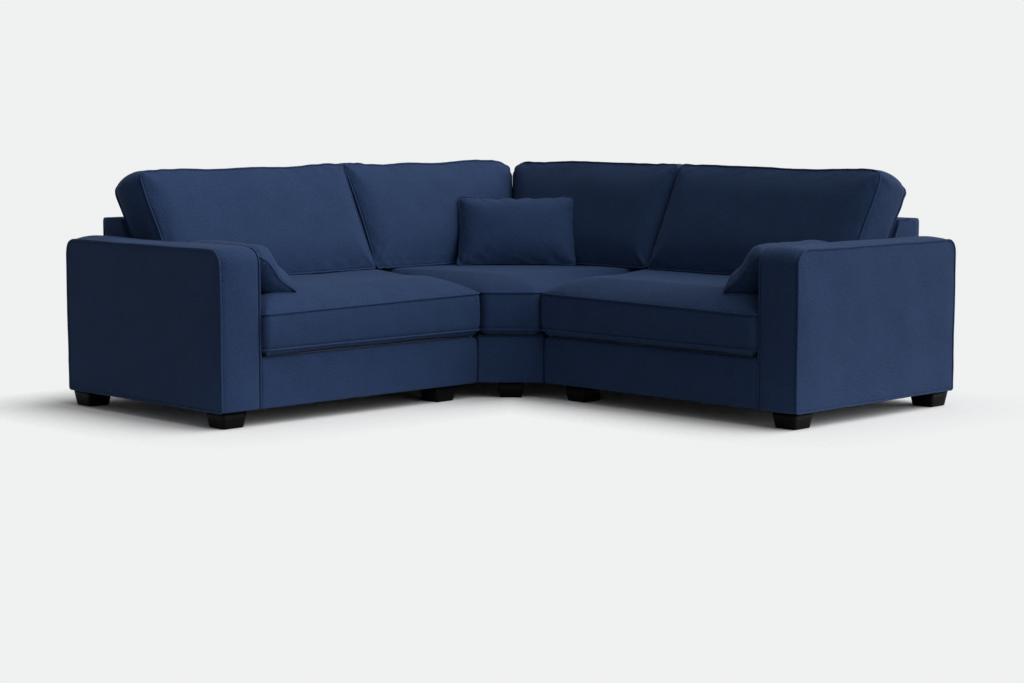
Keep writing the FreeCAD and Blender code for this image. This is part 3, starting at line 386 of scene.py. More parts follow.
def rounded_outline(corners, radii, draws, anchors, counts):
    """A closed outline as points: arcs at its corners, sides bent inwards as parabolas.

    anchors are ("corner", i) for the middle of a corner's arc or ("side", i) for the middle
    of the side after corner i; between anchor k and the next are counts[k] steps, shorter at
    both ends.
    """
    corners = np.asarray(corners, float)
    number = len(corners)
    arc_points, side_points = 13, 40
    arcs = []
    for i in range(number):
        before, after, bend, reach = corner_at(corners, i, radii[i])
        middle = before + after
        centre = corners[i] + middle / np.linalg.norm(middle) * radii[i] / math.sin(bend / 2)
        start, end = corners[i] + before * reach - centre, corners[i] + after * reach - centre
        share = np.linspace(0, 1, arc_points)[:, None]
        angle = math.pi - bend
        arc = (np.sin((1 - share) * angle) * start + np.sin(share * angle) * end) / math.sin(angle)
        arcs.append(centre + arc)
    pieces, marks, total = [], {}, 0
    for i in range(number):
        start, end = arcs[i][-1], arcs[(i + 1) % number][0]
        share = np.linspace(0, 1, side_points + 2)[1:-1, None]
        along = end - start
        inward = np.array([-along[1], along[0]]) / np.linalg.norm(along)
        side = start + along * share + inward * draws[i] * (1 - (2 * share - 1) ** 2)
        marks["corner", i] = total + arc_points // 2
        marks["side", i] = total + arc_points + side_points // 2
        pieces += [arcs[i], side]
        total += arc_points + side_points
    dense = np.vstack(pieces)
    runs = []
    for k, anchor in enumerate(anchors):
        first, last = marks[anchor], marks[anchors[(k + 1) % len(anchors)]]
        if last <= first:
            last += total
        run = dense[np.arange(first, last + 1) % total]
        length = run_of(run)
        runs.append(points_at(run, length, length[-1] * seam_spacing(counts[k])[:-1]))
    return np.vstack(runs)


def spanned(loop, wide, tall):
    """Coons patch: the grid that a closed loop of 2 * (wide + tall) points spans."""
    closed = np.vstack([loop, loop[:1]])
    low = closed[:wide + 1]
    right = closed[wide:wide + tall + 1]
    high = closed[wide + tall:2 * wide + tall + 1][::-1]
    left = closed[2 * wide + tall:][::-1]
    u = seam_spacing(wide)[None, :, None]
    v = seam_spacing(tall)[:, None, None]
    ruled = (1 - v) * low[None] + v * high[None] + (1 - u) * left[:, None] + u * right[:, None]
    bilinear = (1 - u) * (1 - v) * low[0] + u * (1 - v) * low[-1]
    bilinear = bilinear + (1 - u) * v * high[0] + u * v * high[-1]
    return ruled - bilinear


def rim_of(wide, tall):
    """Indices of a grid's border in the order of its loop."""
    grid = np.arange((wide + 1) * (tall + 1)).reshape(tall + 1, wide + 1)
    return np.concatenate([grid[0, :-1], grid[:-1, -1], grid[-1, :0:-1], grid[:0:-1, 0]])


def cells_of(grid):
    """The four corners of each cell between the rows and columns of a grid."""
    return np.stack([grid[:-1, :-1], grid[:-1, 1:], grid[1:, 1:], grid[1:, :-1]], axis=2)


def quads_of(grid):
    """Quads between the rows and columns of a grid of indices."""
    return cells_of(grid).reshape(-1, 4)


def crossed(across, up):
    """The grid of pairs that a row and a column of numbers make."""
    return np.stack(np.broadcast_arrays(across[None, :], up[:, None]), axis=-1)


def grid_form(points, surface):
    """An open form from a grid of points and the grid of their UVs."""
    index = np.arange(points.shape[0] * points.shape[1]).reshape(points.shape[:2])
    return SimpleNamespace(points=points.reshape(-1, 3), quads=quads_of(index),
                           uv=cells_of(surface).reshape(-1, 4, 2))


def depth_within(flat, corners, shares):
    """Soft least distance of points from the sides of a polygon, each divided by its share.

    A share is a number or a function of the points.
    """
    corners = np.asarray(corners, float)
    total = np.zeros(len(flat))
    for i, share in enumerate(shares):
        along = corners[(i + 1) % len(corners)] - corners[i]
        inward = np.array([-along[1], along[0]]) / np.linalg.norm(along)
        share = share(flat) if callable(share) else share
        away = np.maximum((flat - corners[i]) @ inward, 1e-4) / share
        total += away ** -3.0
    return total ** (-1 / 3.0)


def swell(depth, reach, power):
    """Crown profile 1 - (1 - depth / reach) ** power, level beyond reach."""
    return 1 - (1 - np.clip(depth / reach, 0, 1)) ** power


def boxed(low, high, place, wide, tall, rows, radii, draws, crowns, shares,
          bulge=0.0, anchors=None):
    """A closed boxed form: two panels joined by a border strip.

    low and high are (corners, depth) of the two seams in the plane of the panels. Each panel
    is a Coons patch of its seam, raised by crown height * swell(distance to the seam). The
    border blends the two seams and stands out by bulge * 4 t (1 - t). place(a, b, c) carries
    plane coordinates and depth into the row frame.
    """
    anchors = anchors or [("corner", k) for k in range(4)]
    counts = [wide, tall, wide, tall]
    loops, panels = [], []
    for (corners, depth), (crown, reach, power) in zip((low, high), crowns):
        loop = rounded_outline(corners, radii, draws, anchors, counts)
        flat = spanned(loop, wide, tall).reshape(-1, 2)
        inset = depth_within(flat, corners, shares)
        nearest = inset[rim_of(wide, tall)].mean()
        height = crown * swell(np.maximum(inset - nearest, 0), reach, power)
        height[rim_of(wide, tall)] = 0
        loops.append(loop)
        panels.append(np.column_stack([flat, depth + height]))
    size = (wide + 1) * (tall + 1)
    around = len(loops[0])
    share = np.linspace(0, 1, rows + 1)[1:-1, None, None]
    tangent = np.roll(loops[0], -1, axis=0) - np.roll(loops[0], 1, axis=0)
    normal = np.stack([tangent[:, 1], -tangent[:, 0]], axis=1)
    normal /= np.linalg.norm(normal, axis=1)[:, None]
    strip = (1 - share) * loops[0] + share * loops[1] + normal * bulge * 4 * share * (1 - share)
    depths = np.broadcast_to((1 - share) * low[1] + share * high[1], (rows - 1, around, 1))
    strip = np.concatenate([strip, depths], axis=2).reshape(-1, 3)
    flat = np.vstack([panels[0], panels[1], strip])
    rims = [rim_of(wide, tall), rim_of(wide, tall) + size]
    inner = np.arange(2 * size, 2 * size + (rows - 1) * around).reshape(rows - 1, around)
    belt = np.vstack([rims[0], inner, rims[1]])
    belt = np.hstack([belt, belt[:, :1]])
    grid = np.arange(size).reshape(tall + 1, wide + 1)
    quads = [quads_of(grid)[:, ::-1], quads_of(grid + size), quads_of(belt)]
    panel_uv = [flat[part][..., :2] for part in quads[:2]]
    run = run_of(np.vstack([loops[0], loops[0][:1]]))
    belt_uv = crossed(run, np.linspace(0, abs(high[1] - low[1]), rows + 1))
    form = SimpleNamespace(
        points=place(flat[:, 0], flat[:, 1], flat[:, 2]), quads=np.vstack(quads),
        uv=np.concatenate([*panel_uv, cells_of(belt_uv).reshape(-1, 4, 2)]), seams=rims, flat=flat)
    return facing_out(form)


def facing_out(form):
    """Turns all faces round where the signed volume of the form is negative."""
    a, b, c, d = (form.points[form.quads[:, k]] for k in range(4))
    volume = np.einsum("ij,ij->", a, np.cross(b, c)) + np.einsum("ij,ij->", a, np.cross(c, d))
    if volume < 0:
        form.quads = form.quads[:, ::-1]
        form.uv = form.uv[:, ::-1]
    return form


def normals_of(form):
    """Vertex normals: the mean of the normals of the faces at each point."""
    a, b, c, d = (form.points[form.quads[:, k]] for k in range(4))
    faces = np.cross(c - a, d - b)
    total = np.zeros_like(form.points)
    for k in range(4):
        np.add.at(total, form.quads[:, k], faces)
    return total / np.maximum(np.linalg.norm(total, axis=1), 1e-12)[:, None]


def exchanged(form):
    """The right wing's form: X and Y exchanged, faces turned round."""
    form.points = form.points[:, [1, 0, 2]]
    form.quads = form.quads[:, ::-1]
    form.uv = form.uv[:, ::-1]
    return form


def add_mesh(name, form, material, creased=()):
    """Puts a form's arrays into a new mesh object, smooth, with its UVs in metres."""
    mesh = bpy.data.meshes.new(name)
    count = len(form.quads)
    mesh.vertices.add(len(form.points))
    mesh.vertices.foreach_set("co", form.points.astype(np.float32).ravel())
    mesh.loops.add(count * 4)
    mesh.loops.foreach_set("vertex_index", form.quads.astype(np.int32).ravel())
    mesh.polygons.add(count)
    mesh.polygons.foreach_set("loop_start", np.arange(0, count * 4, 4, dtype=np.int32))
    mesh.polygons.foreach_set("use_smooth", np.ones(count, dtype=bool))
    layer = mesh.uv_layers.new(name="cloth")
    layer.data.foreach_set("uv", form.uv.astype(np.float32).ravel())
    mesh.update(calc_edges=True)
    mesh.validate()
    mesh.materials.append(material)
    piece = bpy.data.objects.new(name, mesh)
    bpy.context.scene.collection.objects.link(piece)
    if len(creased):
        mark_creases(mesh, creased)
    return piece


def mark_creases(mesh, loops, weight=0.75):
    """Creases the edges between neighbours of each closed loop of points."""
    pairs = set()
    for loop in loops:
        ends = np.sort(np.stack([loop, np.roll(loop, -1)], axis=1), axis=1)
        pairs.update(map(tuple, ends.tolist()))
    edges = np.empty(len(mesh.edges) * 2, dtype=np.int32)
    mesh.edges.foreach_get("vertices", edges)
    edges = np.sort(edges.reshape(-1, 2), axis=1)
    wanted = np.array([tuple(pair) in pairs for pair in edges.tolist()], dtype=np.float32)
    layer = mesh.attributes.new("crease_edge", "FLOAT", "EDGE")
    layer.data.foreach_set("value", wanted * weight)


def subdivided(piece):
    finish = piece.modifiers.new("Smooth", "SUBSURF")
    finish.levels = 1
    finish.render_levels = 1
    return piece


def tube(loop, radius):
    """A closed tube round a loop: rings at its points, in planes across its direction."""
    sides = 8
    ahead = np.roll(loop, -1, axis=0) - np.roll(loop, 1, axis=0)
    ahead /= np.linalg.norm(ahead, axis=1)[:, None]
    spare = np.cross(ahead, np.array([0.31, 0.47, 0.83]))
    spare /= np.linalg.norm(spare, axis=1)[:, None]
    other = np.cross(ahead, spare)
    angle = np.arange(sides) * 2 * math.pi / sides
    rings = loop[:, None] + radius * (
        np.cos(angle)[None, :, None] * spare[:, None] + np.sin(angle)[None, :, None] * other[:, None])
    index = np.arange(len(loop) * sides).reshape(len(loop), sides)
    index = np.hstack([index, index[:, :1]])
    index = np.vstack([index, index[:1]])
    girth = np.linspace(0, 2 * math.pi * radius, sides + 1)
    run = run_of(np.vstack([loop, loop[:1]]))
    surface = np.stack(np.broadcast_arrays(run[:, None], girth[None, :]), axis=-1)
    return facing_out(SimpleNamespace(points=rings.reshape(-1, 3), quads=quads_of(index),
                                      uv=cells_of(surface).reshape(-1, 4, 2)))


def joined_forms(forms):
    """Several forms in one mesh."""
    offset, points, quads = 0, [], []
    for form in forms:
        points.append(form.points)
        quads.append(form.quads + offset)
        offset += len(form.points)
    return SimpleNamespace(points=np.vstack(points), quads=np.vstack(quads),
                           uv=np.concatenate([form.uv for form in forms]))


def smooth_loop(loop):
    """A loop whose points are averaged twice with their neighbours."""
    for _ in range(2):
        loop = 0.5 * loop + 0.25 * (np.roll(loop, 1, axis=0) + np.roll(loop, -1, axis=0))
    return loop


def grooved(form):
    """Draws the seams in by a little, as their stitches do."""
    depth = 0.004
    normals = normals_of(form)
    for seam in form.seams:
        form.points[seam] -= normals[seam] * depth
    return form


def add_piping(name, form, body, radius=None, outward=0.8):
    """Self piping along a form's seams, set a little outwards."""
    radius = radius or sizes().piping
    normals = normals_of(form)
    tubes = [
        tube(smooth_loop(form.points[seam] + normals[seam] * radius * outward), radius)
        for seam in form.seams
    ]
    # Painted highlight: the piping's cloth is the navy cloth made 5 per cent lighter, for the light along
    # its crest.
    piece = add_mesh(name, joined_forms(tubes), woven("navy_piping", shade(colours().cloth, 1.05)))
    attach(piece, body)
    return piece


def puckered(form, seed, amount=0.0011, reach=0.05, wavelength=0.045):
    """Small pulls across the seams: noise along them that fades with the distance."""
    pull = np.zeros(len(form.points))
    for seam in form.seams:
        line = form.points[seam][::3]
        away = np.full(len(form.points), 9.0)
        for start in range(0, len(line), 40):
            part = line[start:start + 40]
            away = np.minimum(away, np.linalg.norm(form.points[:, None] - part[None], axis=2).min(axis=1))
        pull = np.maximum(pull, np.exp(-(away / reach) ** 1.4))
    noise = ripple(form.points, seed, wavelength, amount)
    broad_wavelength, broad_amount = 0.33, 0.0022
    broad = ripple(form.points, seed + 1, broad_wavelength, broad_amount)
    form.points = form.points + normals_of(form) * (noise * pull + broad * (1 - pull))[:, None]
    return form


def blown(name, form, limit, walls, grow=0.0):
    """Inflates a cushion's cover with a cloth simulation, frames 1 to 20.

    The seams stay. The motion of the other points is capped smoothly at limit, and walls, each
    (normal, offset), are planes that the cushion rests against: points past one go back to it.
    """
    last_frame = 20
    piece = add_mesh(f"{name}_start", form, woven("navy_cloth", colours().cloth))
    modifier = piece.modifiers.new("Cloth", "CLOTH")
    cloth = modifier.settings
    cloth.use_pressure = True
    cloth.uniform_pressure_force = sizes().pressure
    cloth.effector_weights.gravity = 0
    cloth.mass = 0.25
    cloth.bending_stiffness = 0.6
    cloth.air_damping = 2.0
    cloth.shrink_min = -grow
    modifier.collision_settings.use_collision = False
    group = piece.vertex_groups.new(name="seams")
    group.add(np.concatenate(form.seams).tolist(), 1.0, "REPLACE")
    cloth.vertex_group_mass = "seams"
    modifier.point_cache.frame_start = 1
    modifier.point_cache.frame_end = last_frame
    scene = bpy.context.scene
    for number in range(1, last_frame + 1):
        scene.frame_set(number)
    evaluated = piece.evaluated_get(bpy.context.evaluated_depsgraph_get())
    after = np.empty(len(form.points) * 3, dtype=np.float32)
    evaluated.data.vertices.foreach_get("co", after)
    after = after.reshape(-1, 3).astype(float)
    bpy.data.objects.remove(piece, do_unlink=True)
    scene.frame_set(1)
    motion = after - form.points
    reach = np.maximum(np.linalg.norm(motion, axis=1), 1e-9)[:, None]
    form.points = form.points + motion / reach * limit * np.tanh(reach / limit)
    return rested(form, walls)


def rested(form, walls):
    """Puts back the points past a wall (normal, offset); an offset may depend on the points."""
    for normal, offset in walls:
        normal = np.asarray(normal, float)
        offset = offset(form.points) if callable(offset) else offset
        past = np.minimum(form.points @ normal - offset, 0)
        form.points = form.points - past[:, None] * normal
    return form


def settle(piece, body, slot, *nodes, fill=None):
    """Rides a piece on its body and lets it stand for its CAD nodes."""
    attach(piece, body)
    if nodes:
        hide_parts(*nodes)
    return piece


SIDES = ("left", "right")


def for_wing(side, form):
    return exchanged(form) if side == "right" else form


def wall_for(side, normal, offset):
    normal = np.asarray(normal, float)
    return (normal[[1, 0, 2]] if side == "right" else normal, offset)


# Arms

def arm_form(side):
    """The arm's padding: side panels with rounded tops, and the swelled strip between them."""
    inset = 0.003
    near, far = FRONT + inset, ARM_REAR - inset
    low, high = BASE_LOW + 0.001, ARM_TOP - inset
    corners = [(near, low), (far, low), (far, high), (near, high)]
    outer, inner = -HALF + 0.002, ARM_INNER - 0.002

    def place(a, b, c):
        return np.column_stack([inner - c, a, b])

    form = boxed((corners, 0.0), (corners, inner - outer), place, 76, 46, 14,
                 [0.006, 0.006, 0.045, 0.055], [0] * 4,
                 [(-0.003, 0.07, 2.0), (0.0035, 0.07, 2.0)], [1] * 4,
                 bulge=sizes().arm_swell)
    form.points[:, 2] = np.maximum(form.points[:, 2], BASE_LOW)
    seed = 11 if side == "left" else 12
    middle = (inner + outer) / 2
    top = np.clip((form.points[:, 2] - ARM_TOP + 0.02) / 0.03, 0, 1)
    form.points[:, 2] += top * ripple(form.points, seed, 0.30, 0.0022)
    front = np.clip((FRONT + 0.02 - form.points[:, 1]) / 0.03, 0, 1)
    form.points[:, 1] += front * ripple(form.points, seed + 5, 0.26, 0.0018)
    form.points[:, 0] += np.sign(form.points[:, 0] - middle) * ripple(form.points, seed + 9, 0.5, 0.0012)
    return for_wing(side, form)


class SOFA_OT_arms(bpy.types.Operator):
    """Makes the padded arms with their piping"""
    bl_idname = "sofa.arms"
    bl_label = "Arms"

    def execute(self, context):
        for side in SIDES:
            form = grooved(puckered(arm_form(side), 31 if side == "left" else 37, 0.0007, 0.03, 0.05))
            piece = add_mesh(f"{side}_arm", form, woven("navy_cloth", colours().cloth), form.seams)
            subdivided(piece)
            settle(piece, "frame", "upholstery", f"{side}_arm_outer_panel",
                   f"{side}_arm_inner_panel", f"{side}_arm_border", fill=0.95)
            add_piping(f"{side}_arm_piping", form, "frame")
        return {"FINISHED"}


# Base

def offset_path(points, radii, step):
    """A plan line with rounded corners, its points' outward normals, and lengths along it.

    Straight runs joined by arcs; outwards is to the right of the line's direction.
    """
    points = np.asarray(points, float)
    line = [points[:1]]
    for i in range(1, len(points) - 1):
        before, after, _, reach = corner_at(points, i, radii[i - 1])
        share = np.linspace(0, 1, 9)[:, None]
        start, end = points[i] + before * reach, points[i] + after * reach
        line.append((1 - share) ** 2 * start + 2 * share * (1 - share) * points[i] + share ** 2 * end)
    line = np.vstack([*line, points[-1:]])
    length = run_of(line)
    extra = [np.linspace(a, b, max(int((b - a) / step), 1), endpoint=False)
             for a, b in zip(length[:-1], length[1:])]
    places = np.unique(np.round(np.concatenate([*extra, length[-1:]]), 6))
    fine = points_at(line, length, places)
    ahead = np.gradient(fine, axis=0)
    ahead /= np.linalg.norm(ahead, axis=1)[:, None]
    return fine, np.stack([ahead[:, 1], -ahead[:, 0]], axis=1), places


def carried(profile, path, normals, run):
    """A profile of (outward, height) pairs carried along a plan line, as an open surface."""
    points = np.empty((len(profile), len(path), 3))
    points[..., :2] = path[None] + profile[:, 0][:, None, None] * normals[None]
    points[..., 2] = profile[:, 1][:, None]
    return grid_form(points, crossed(run, run_of(profile)))


def base_profile():
    """Outside of the padded base front, from its lower edge to the deck."""
    low, top = BASE_LOW, BASE_TOP
    rows = np.linspace(low + 0.006, top - 0.014, 14)
    belly = 0.0025 * np.sin(np.linspace(0, math.pi, 14))
    turn = np.linspace(0, math.pi / 2, 6)[1:]
    upper = np.column_stack([-0.014 + 0.014 * np.cos(turn), top - 0.014 + 0.0135 * np.sin(turn)])
    lower = np.column_stack([[-0.009, -0.004, -0.001], [low, low + 0.0006, low + 0.0025]])
    over = [[-0.0205, top - 0.0004]]
    return np.vstack([lower, np.column_stack([belly, rows]), upper, over])


def thickened(piece, thickness):
    """Gives an open skin its thickness, inwards, with closed rims."""
    wall = piece.modifiers.new("Wadding", "SOLIDIFY")
    wall.thickness = thickness
    wall.offset = -1
    return piece


def roll(points):
    """Fall of a wing base's upper edge over the last stretch before the joint, as an arc."""
    wide, fall = 0.05, 0.02
    along = np.where(points[:, 1] < points[:, 0], points[:, 1], points[:, 0])
    ahead = np.clip((along - JOIN + wide) / wide, 0, 1) * (along < JOIN)
    return fall * (1 - np.sqrt(1 - ahead ** 2))


def add_base(side, points, radii, seed):
    path, normals, run = offset_path(points, radii, 0.02)
    form = carried(base_profile(), path, normals, run)
    share = np.clip((form.points[:, 2] - BASE_TOP + 0.06) / 0.06, 0, 1)
    form.points[:, 2] -= share * roll(form.points)
    upright = np.clip((form.points[:, 2] - BASE_LOW) / 0.03, 0, 1)
    way = np.tile(normals, (len(base_profile()), 1))
    form.points[:, :2] += way * (upright * ripple(form.points, seed, 0.35, 0.0014))[:, None]
    piece = add_mesh(f"{side}_base", form, woven("navy_cloth", colours().cloth))
    thickened(piece, 0.008)
    subdivided(piece)
    return settle(piece, "frame", "upholstery", f"{side}_base_cover")


class SOFA_OT_bases(bpy.types.Operator):
    """Makes the padded fronts of the base"""
    bl_idname = "sofa.bases"
    bl_label = "Bases"

    def execute(self, context):
        inner = ARM_INNER + 0.0005
        rear = HALF - COVER - 0.001
        gap = 0.0004
        edge = JOIN - gap
        add_base("left", [(inner, FRONT), (edge, FRONT), (edge, rear)], [0.022], 41)
        add_base("right", [(rear, edge), (FRONT, edge), (FRONT, inner)], [0.022], 42)
        edge = JOIN + gap
        add_base("corner", [(edge, rear), (edge, FRONT), (FRONT, edge), (rear, edge)],
                 [0.004, 0.004], 43)
        return {"FINISHED"}


# Fixed backs

def back_profile():
    """Section of the fixed back as (inward from the outside back, height).

    From the lower rear edge up, over the rounded top, and down the leaning face to the deck.
    """
    radius = 0.018
    top_in, slope = BACK_TOP_DEPTH, math.tan(LEAN)
    toe_height = BACK_TOP - (BACK_TOE - top_in) / slope
    corners = np.array([(0, BASE_LOW), (0, BACK_TOP), (top_in, BACK_TOP),
                        (BACK_TOE - 0.0005, toe_height), (BACK_TOE - 0.0005, BASE_TOP + 0.001)])
    line, _, _ = offset_path(corners, [radius, radius, 0.006], 0.028)
    return line


def fixed_back(stations):
    """The section carried along a line; stations give X and Y for an inward distance."""
    profile = back_profile()
    points, runs = [], []
    for spot, run in stations:
        x, y = spot(profile[:, 0])
        points.append(np.column_stack([x, y, profile[:, 1]]))
        runs.append(run)
    points = np.stack(points, axis=1)
    form = grid_form(points, crossed(np.array(runs), run_of(profile)))
    form.ends = (points[:, 0], points[:, -1])
    return form


def end_panel(edge):
    """A flat panel across the open end of the fixed back, above the deck."""
    upper = edge[edge[:, 2] >= BASE_TOP]
    half_way = len(upper) // 2
    rising, falling = upper[:half_way + 1], upper[half_way:][::-1]

    def at(line, count):
        length = run_of(line)
        return points_at(line, length, np.linspace(0, length[-1], count))

    rows, columns = 22, 9
    share = np.linspace(0, 1, columns)[None, :, None]
    points = (1 - share) * at(rising, rows)[:, None] + share * at(falling, rows)[:, None]
    flat = points[..., 1:] if np.ptp(points[..., 0]) < 1e-4 else points[..., ::2]
    return grid_form(points, flat)


def merge_points(piece, distance):
    """Joins the points of a piece that lie together, and turns its faces one way."""
    merged = bmesh.new()
    merged.from_mesh(piece.data)
    bmesh.ops.remove_doubles(merged, verts=merged.verts, dist=distance)
    bmesh.ops.recalc_face_normals(merged, faces=merged.faces)
    merged.to_mesh(piece.data)
    merged.free()


def add_fixed_back(side, stations, seed):
    skin = fixed_back(stations)
    wave = ripple(skin.points, seed, 0.6, 0.0012)
    form = joined_forms([skin] + [end_panel(edge) for edge in skin.ends])
    form.points[:len(wave), 2] += wave * np.clip((skin.points[:, 2] - 0.6) / 0.1, 0, 1)
    piece = add_mesh(f"{side}_fixed_back", form, woven("navy_cloth", colours().cloth))
    merge_points(piece, 0.0004)
    outward = piece.data.polygons[0]
    if (outward.center - Vector((0.3, 0.3, 0.3))).dot(outward.normal) < 0:
        piece.data.flip_normals()
    thickened(piece, 0.009)
    return settle(piece, "frame", "upholstery", f"{side}_back_cover")


class SOFA_OT_fixed_backs(bpy.types.Operator):
    """Makes the padded fixed backs behind the loose cushions"""
    bl_idname = "sofa.fixed_backs"
    bl_label = "Fixed backs"

    def execute(self, context):
        gap = 0.0004
        along = np.linspace(ARM_INNER + gap, JOIN - gap, 48)
        wing = [((lambda a, x=x: (np.full_like(a, x), HALF - a)), x) for x in along]
        add_fixed_back("left", wing, 51)
        other = [((lambda a, y=y: (HALF - a, np.full_like(a, y))), y) for y in along]
        add_fixed_back("right", other, 52)
        share = np.linspace(0, 1, 40)
        start, leg = JOIN + gap, 1.17
        corner = [((lambda a, t=t: (start + t * (HALF - a - start), HALF - a)), t * leg) for t in share]
        corner += [((lambda a, t=t: (HALF - a, start + t * (HALF - a - start))), 2 * leg - t * leg)
                   for t in share[-2::-1]]
        add_fixed_back("corner", corner, 53)
        return {"FINISHED"}


# Seat cushions

def seat_place(a, b, c):
    """Level pieces: the plane of the panels is the plan."""
    return np.column_stack([a, b, c])


def seat_form(corners, radii, shares, wide, tall, **more):
    low_seam, high_seam = sizes().seat_low_seam, sizes().seat_high_seam
    return boxed((corners, low_seam), (corners, high_seam), seat_place, wide, tall, 11,
                 radii, [0.004] * len(corners),
                 [(SEAT_REST - low_seam, 0.022, 3.0), (SEAT_CROWN - high_seam, 0.22, 2.6)],
                 shares, bulge=0.005, **more)


# The cushion beside each arm: how far it sinks in, its rear edge's distance to the seat
# cushion's rear edge, and half its length along the arm.
PILLOW_SINK = 0.018
PILLOW_REAR = 0.24
PILLOW_HALF = 0.22


def pressed(points):
    """The hollow that the cushion beside the arm makes in the crown of a wing's seat."""
    across = (points[:, 0] - ARM_INNER) / 0.21
    along = np.abs(points[:, 1] - SEAT_REAR + PILLOW_REAR + PILLOW_HALF) / PILLOW_HALF
    crown = np.clip((points[:, 2] - SEAT_CROWN + 0.03) / 0.02, 0, 1)
    return PILLOW_SINK * crown / (1 + across ** 8) / (1 + along ** 8)


def sagged(points, share):
    """How far the upper seam of a wing's seat hangs: 17 mm by the arm, 2 mm at the joint.

    It fades to nothing at the lower seam and at the crown.
    """
    low, high = sizes().seat_low_seam, sizes().seat_high_seam
    height = points[:, 2]
    near = np.minimum((height - low) / (high - low), (SEAT_CROWN - height) / (SEAT_CROWN - high))
    return (0.017 - 0.015 * share) * np.clip(near, 0, 1)


def share_along(axis):
    """Share of a side towards its neighbour: the crown rises sooner under the back cushions."""
    def share(flat):
        behind = np.clip((flat[:, axis] - SEAT_FRONT - 0.30) / 0.30, 0, 1)
        return 0.82 - 0.72 * behind

    return share


def inset_box(node, by):
    low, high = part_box(node)
    return low[0] + by, high[0] - by, low[1] + by, high[1] - by


def add_filling(form, body):
    """The filling: the cover's form at a share of its size, about its middle."""
    share = 0.95
    middle = (form.points.min(axis=0) + form.points.max(axis=0)) / 2
    inner = SimpleNamespace(points=middle + (form.points - middle) * share, quads=form.quads, uv=form.uv)
    fibre = matted("fibre_wrap", (0.62, 0.6, 0.54), (0.86, 0.85, 0.8), 160.0)
    piece = subdivided(add_mesh(f"{body}_cloth_filling", inner, fibre))
    return settle(piece, body, "cushion_filling", f"{body}_cushion_filling")


def finish_cushion(form, body, fill, seed, walls, pucker=0.0011):
    """Blows up a boxed cushion's cover and adds its filling and its piping."""
    most_swell = 0.014
    form = blown(body, form, most_swell, walls)
    form = rested(puckered(form, seed, pucker), walls)
    add_filling(form, body)
    form = grooved(form)
    piece = add_mesh(f"{body}_cloth", form, woven("navy_cloth", colours().cloth), form.seams)
    subdivided(piece)
    settle(piece, body, "cushion_cloth", f"{body}_cushion", fill=fill)
    add_piping(f"{body}_cloth_piping", form, body)


class SOFA_OT_seat_cushions(bpy.types.Operator):
    """Makes the three boxed seat cushions with their piping"""
    bl_idname = "sofa.seat_cushions"
    bl_label = "Seat cushions"

    def execute(self, context):
        inset = 0.0038
        left, right, near, far = inset_box("left_seat_cushion", inset)
        level = [((0, 0, 1), SEAT_REST), ((0, 0, -1), -SEAT_CROWN)]
        side_share = share_along(1)
        for side, seed in (("left", 61), ("right", 71)):
            corners = [(left, near), (right, near), (right, far), (left, far)]
            form = seat_form(corners, [0.022] * 4, [0.85, side_share, 0.3, side_share], 80, 56)
            form.points[:, 2] -= sagged(form.points, (form.points[:, 0] - left) / (right - left))
            form.points[:, 2] -= pressed(form.points)
            form = for_wing(side, form)
            walls = level + [
                wall_for(side, (1, 0, 0), left - inset), wall_for(side, (-1, 0, 0), -right - inset),
                wall_for(side, (0, -1, 0), -far - inset)]
            finish_cushion(form, f"{side}_seat", 0.85, seed, walls)
        low, _, _, high = inset_box("corner_seat_cushion", inset)
        cut = JOIN + FRONT - 0.025 * ROOT_TWO + inset * ROOT_TWO
        corners = [(low, cut - low), (cut - low, low), (high, low), (high, high), (low, high)]
        anchors = [("side", 0), ("corner", 2), ("corner", 3), ("corner", 4)]
        shares = [0.8, share_along(0), 0.3, 0.3, share_along(1)]
        form = seat_form(corners, [0.022] * 5, shares, 64, 64, anchors=anchors)
        walls = level + [
            ((1, 0, 0), low - inset), ((0, 1, 0), low - inset),
            ((-1, 0, 0), -high - inset), ((0, -1, 0), -high - inset)]
        finish_cushion(form, "corner_seat", 0.85, 81, walls)
        return {"FINISHED"}


# Back cushions

def back_foot():
    """Where the leaning face of the fixed back meets the level of the seat cushions' crown."""
    level = SEAT_CROWN + 0.0004
    rise = (BACK_TOP - level) * math.tan(LEAN)
    return np.array([0, HALF - BACK_TOP_DEPTH - rise, level])


def flare(height):
    """How far the outer end of a back cushion leans out over the arm at a height."""
    return 0.014 * np.clip((height - ARM_TOP + 0.03) / 0.16, 0, 1)


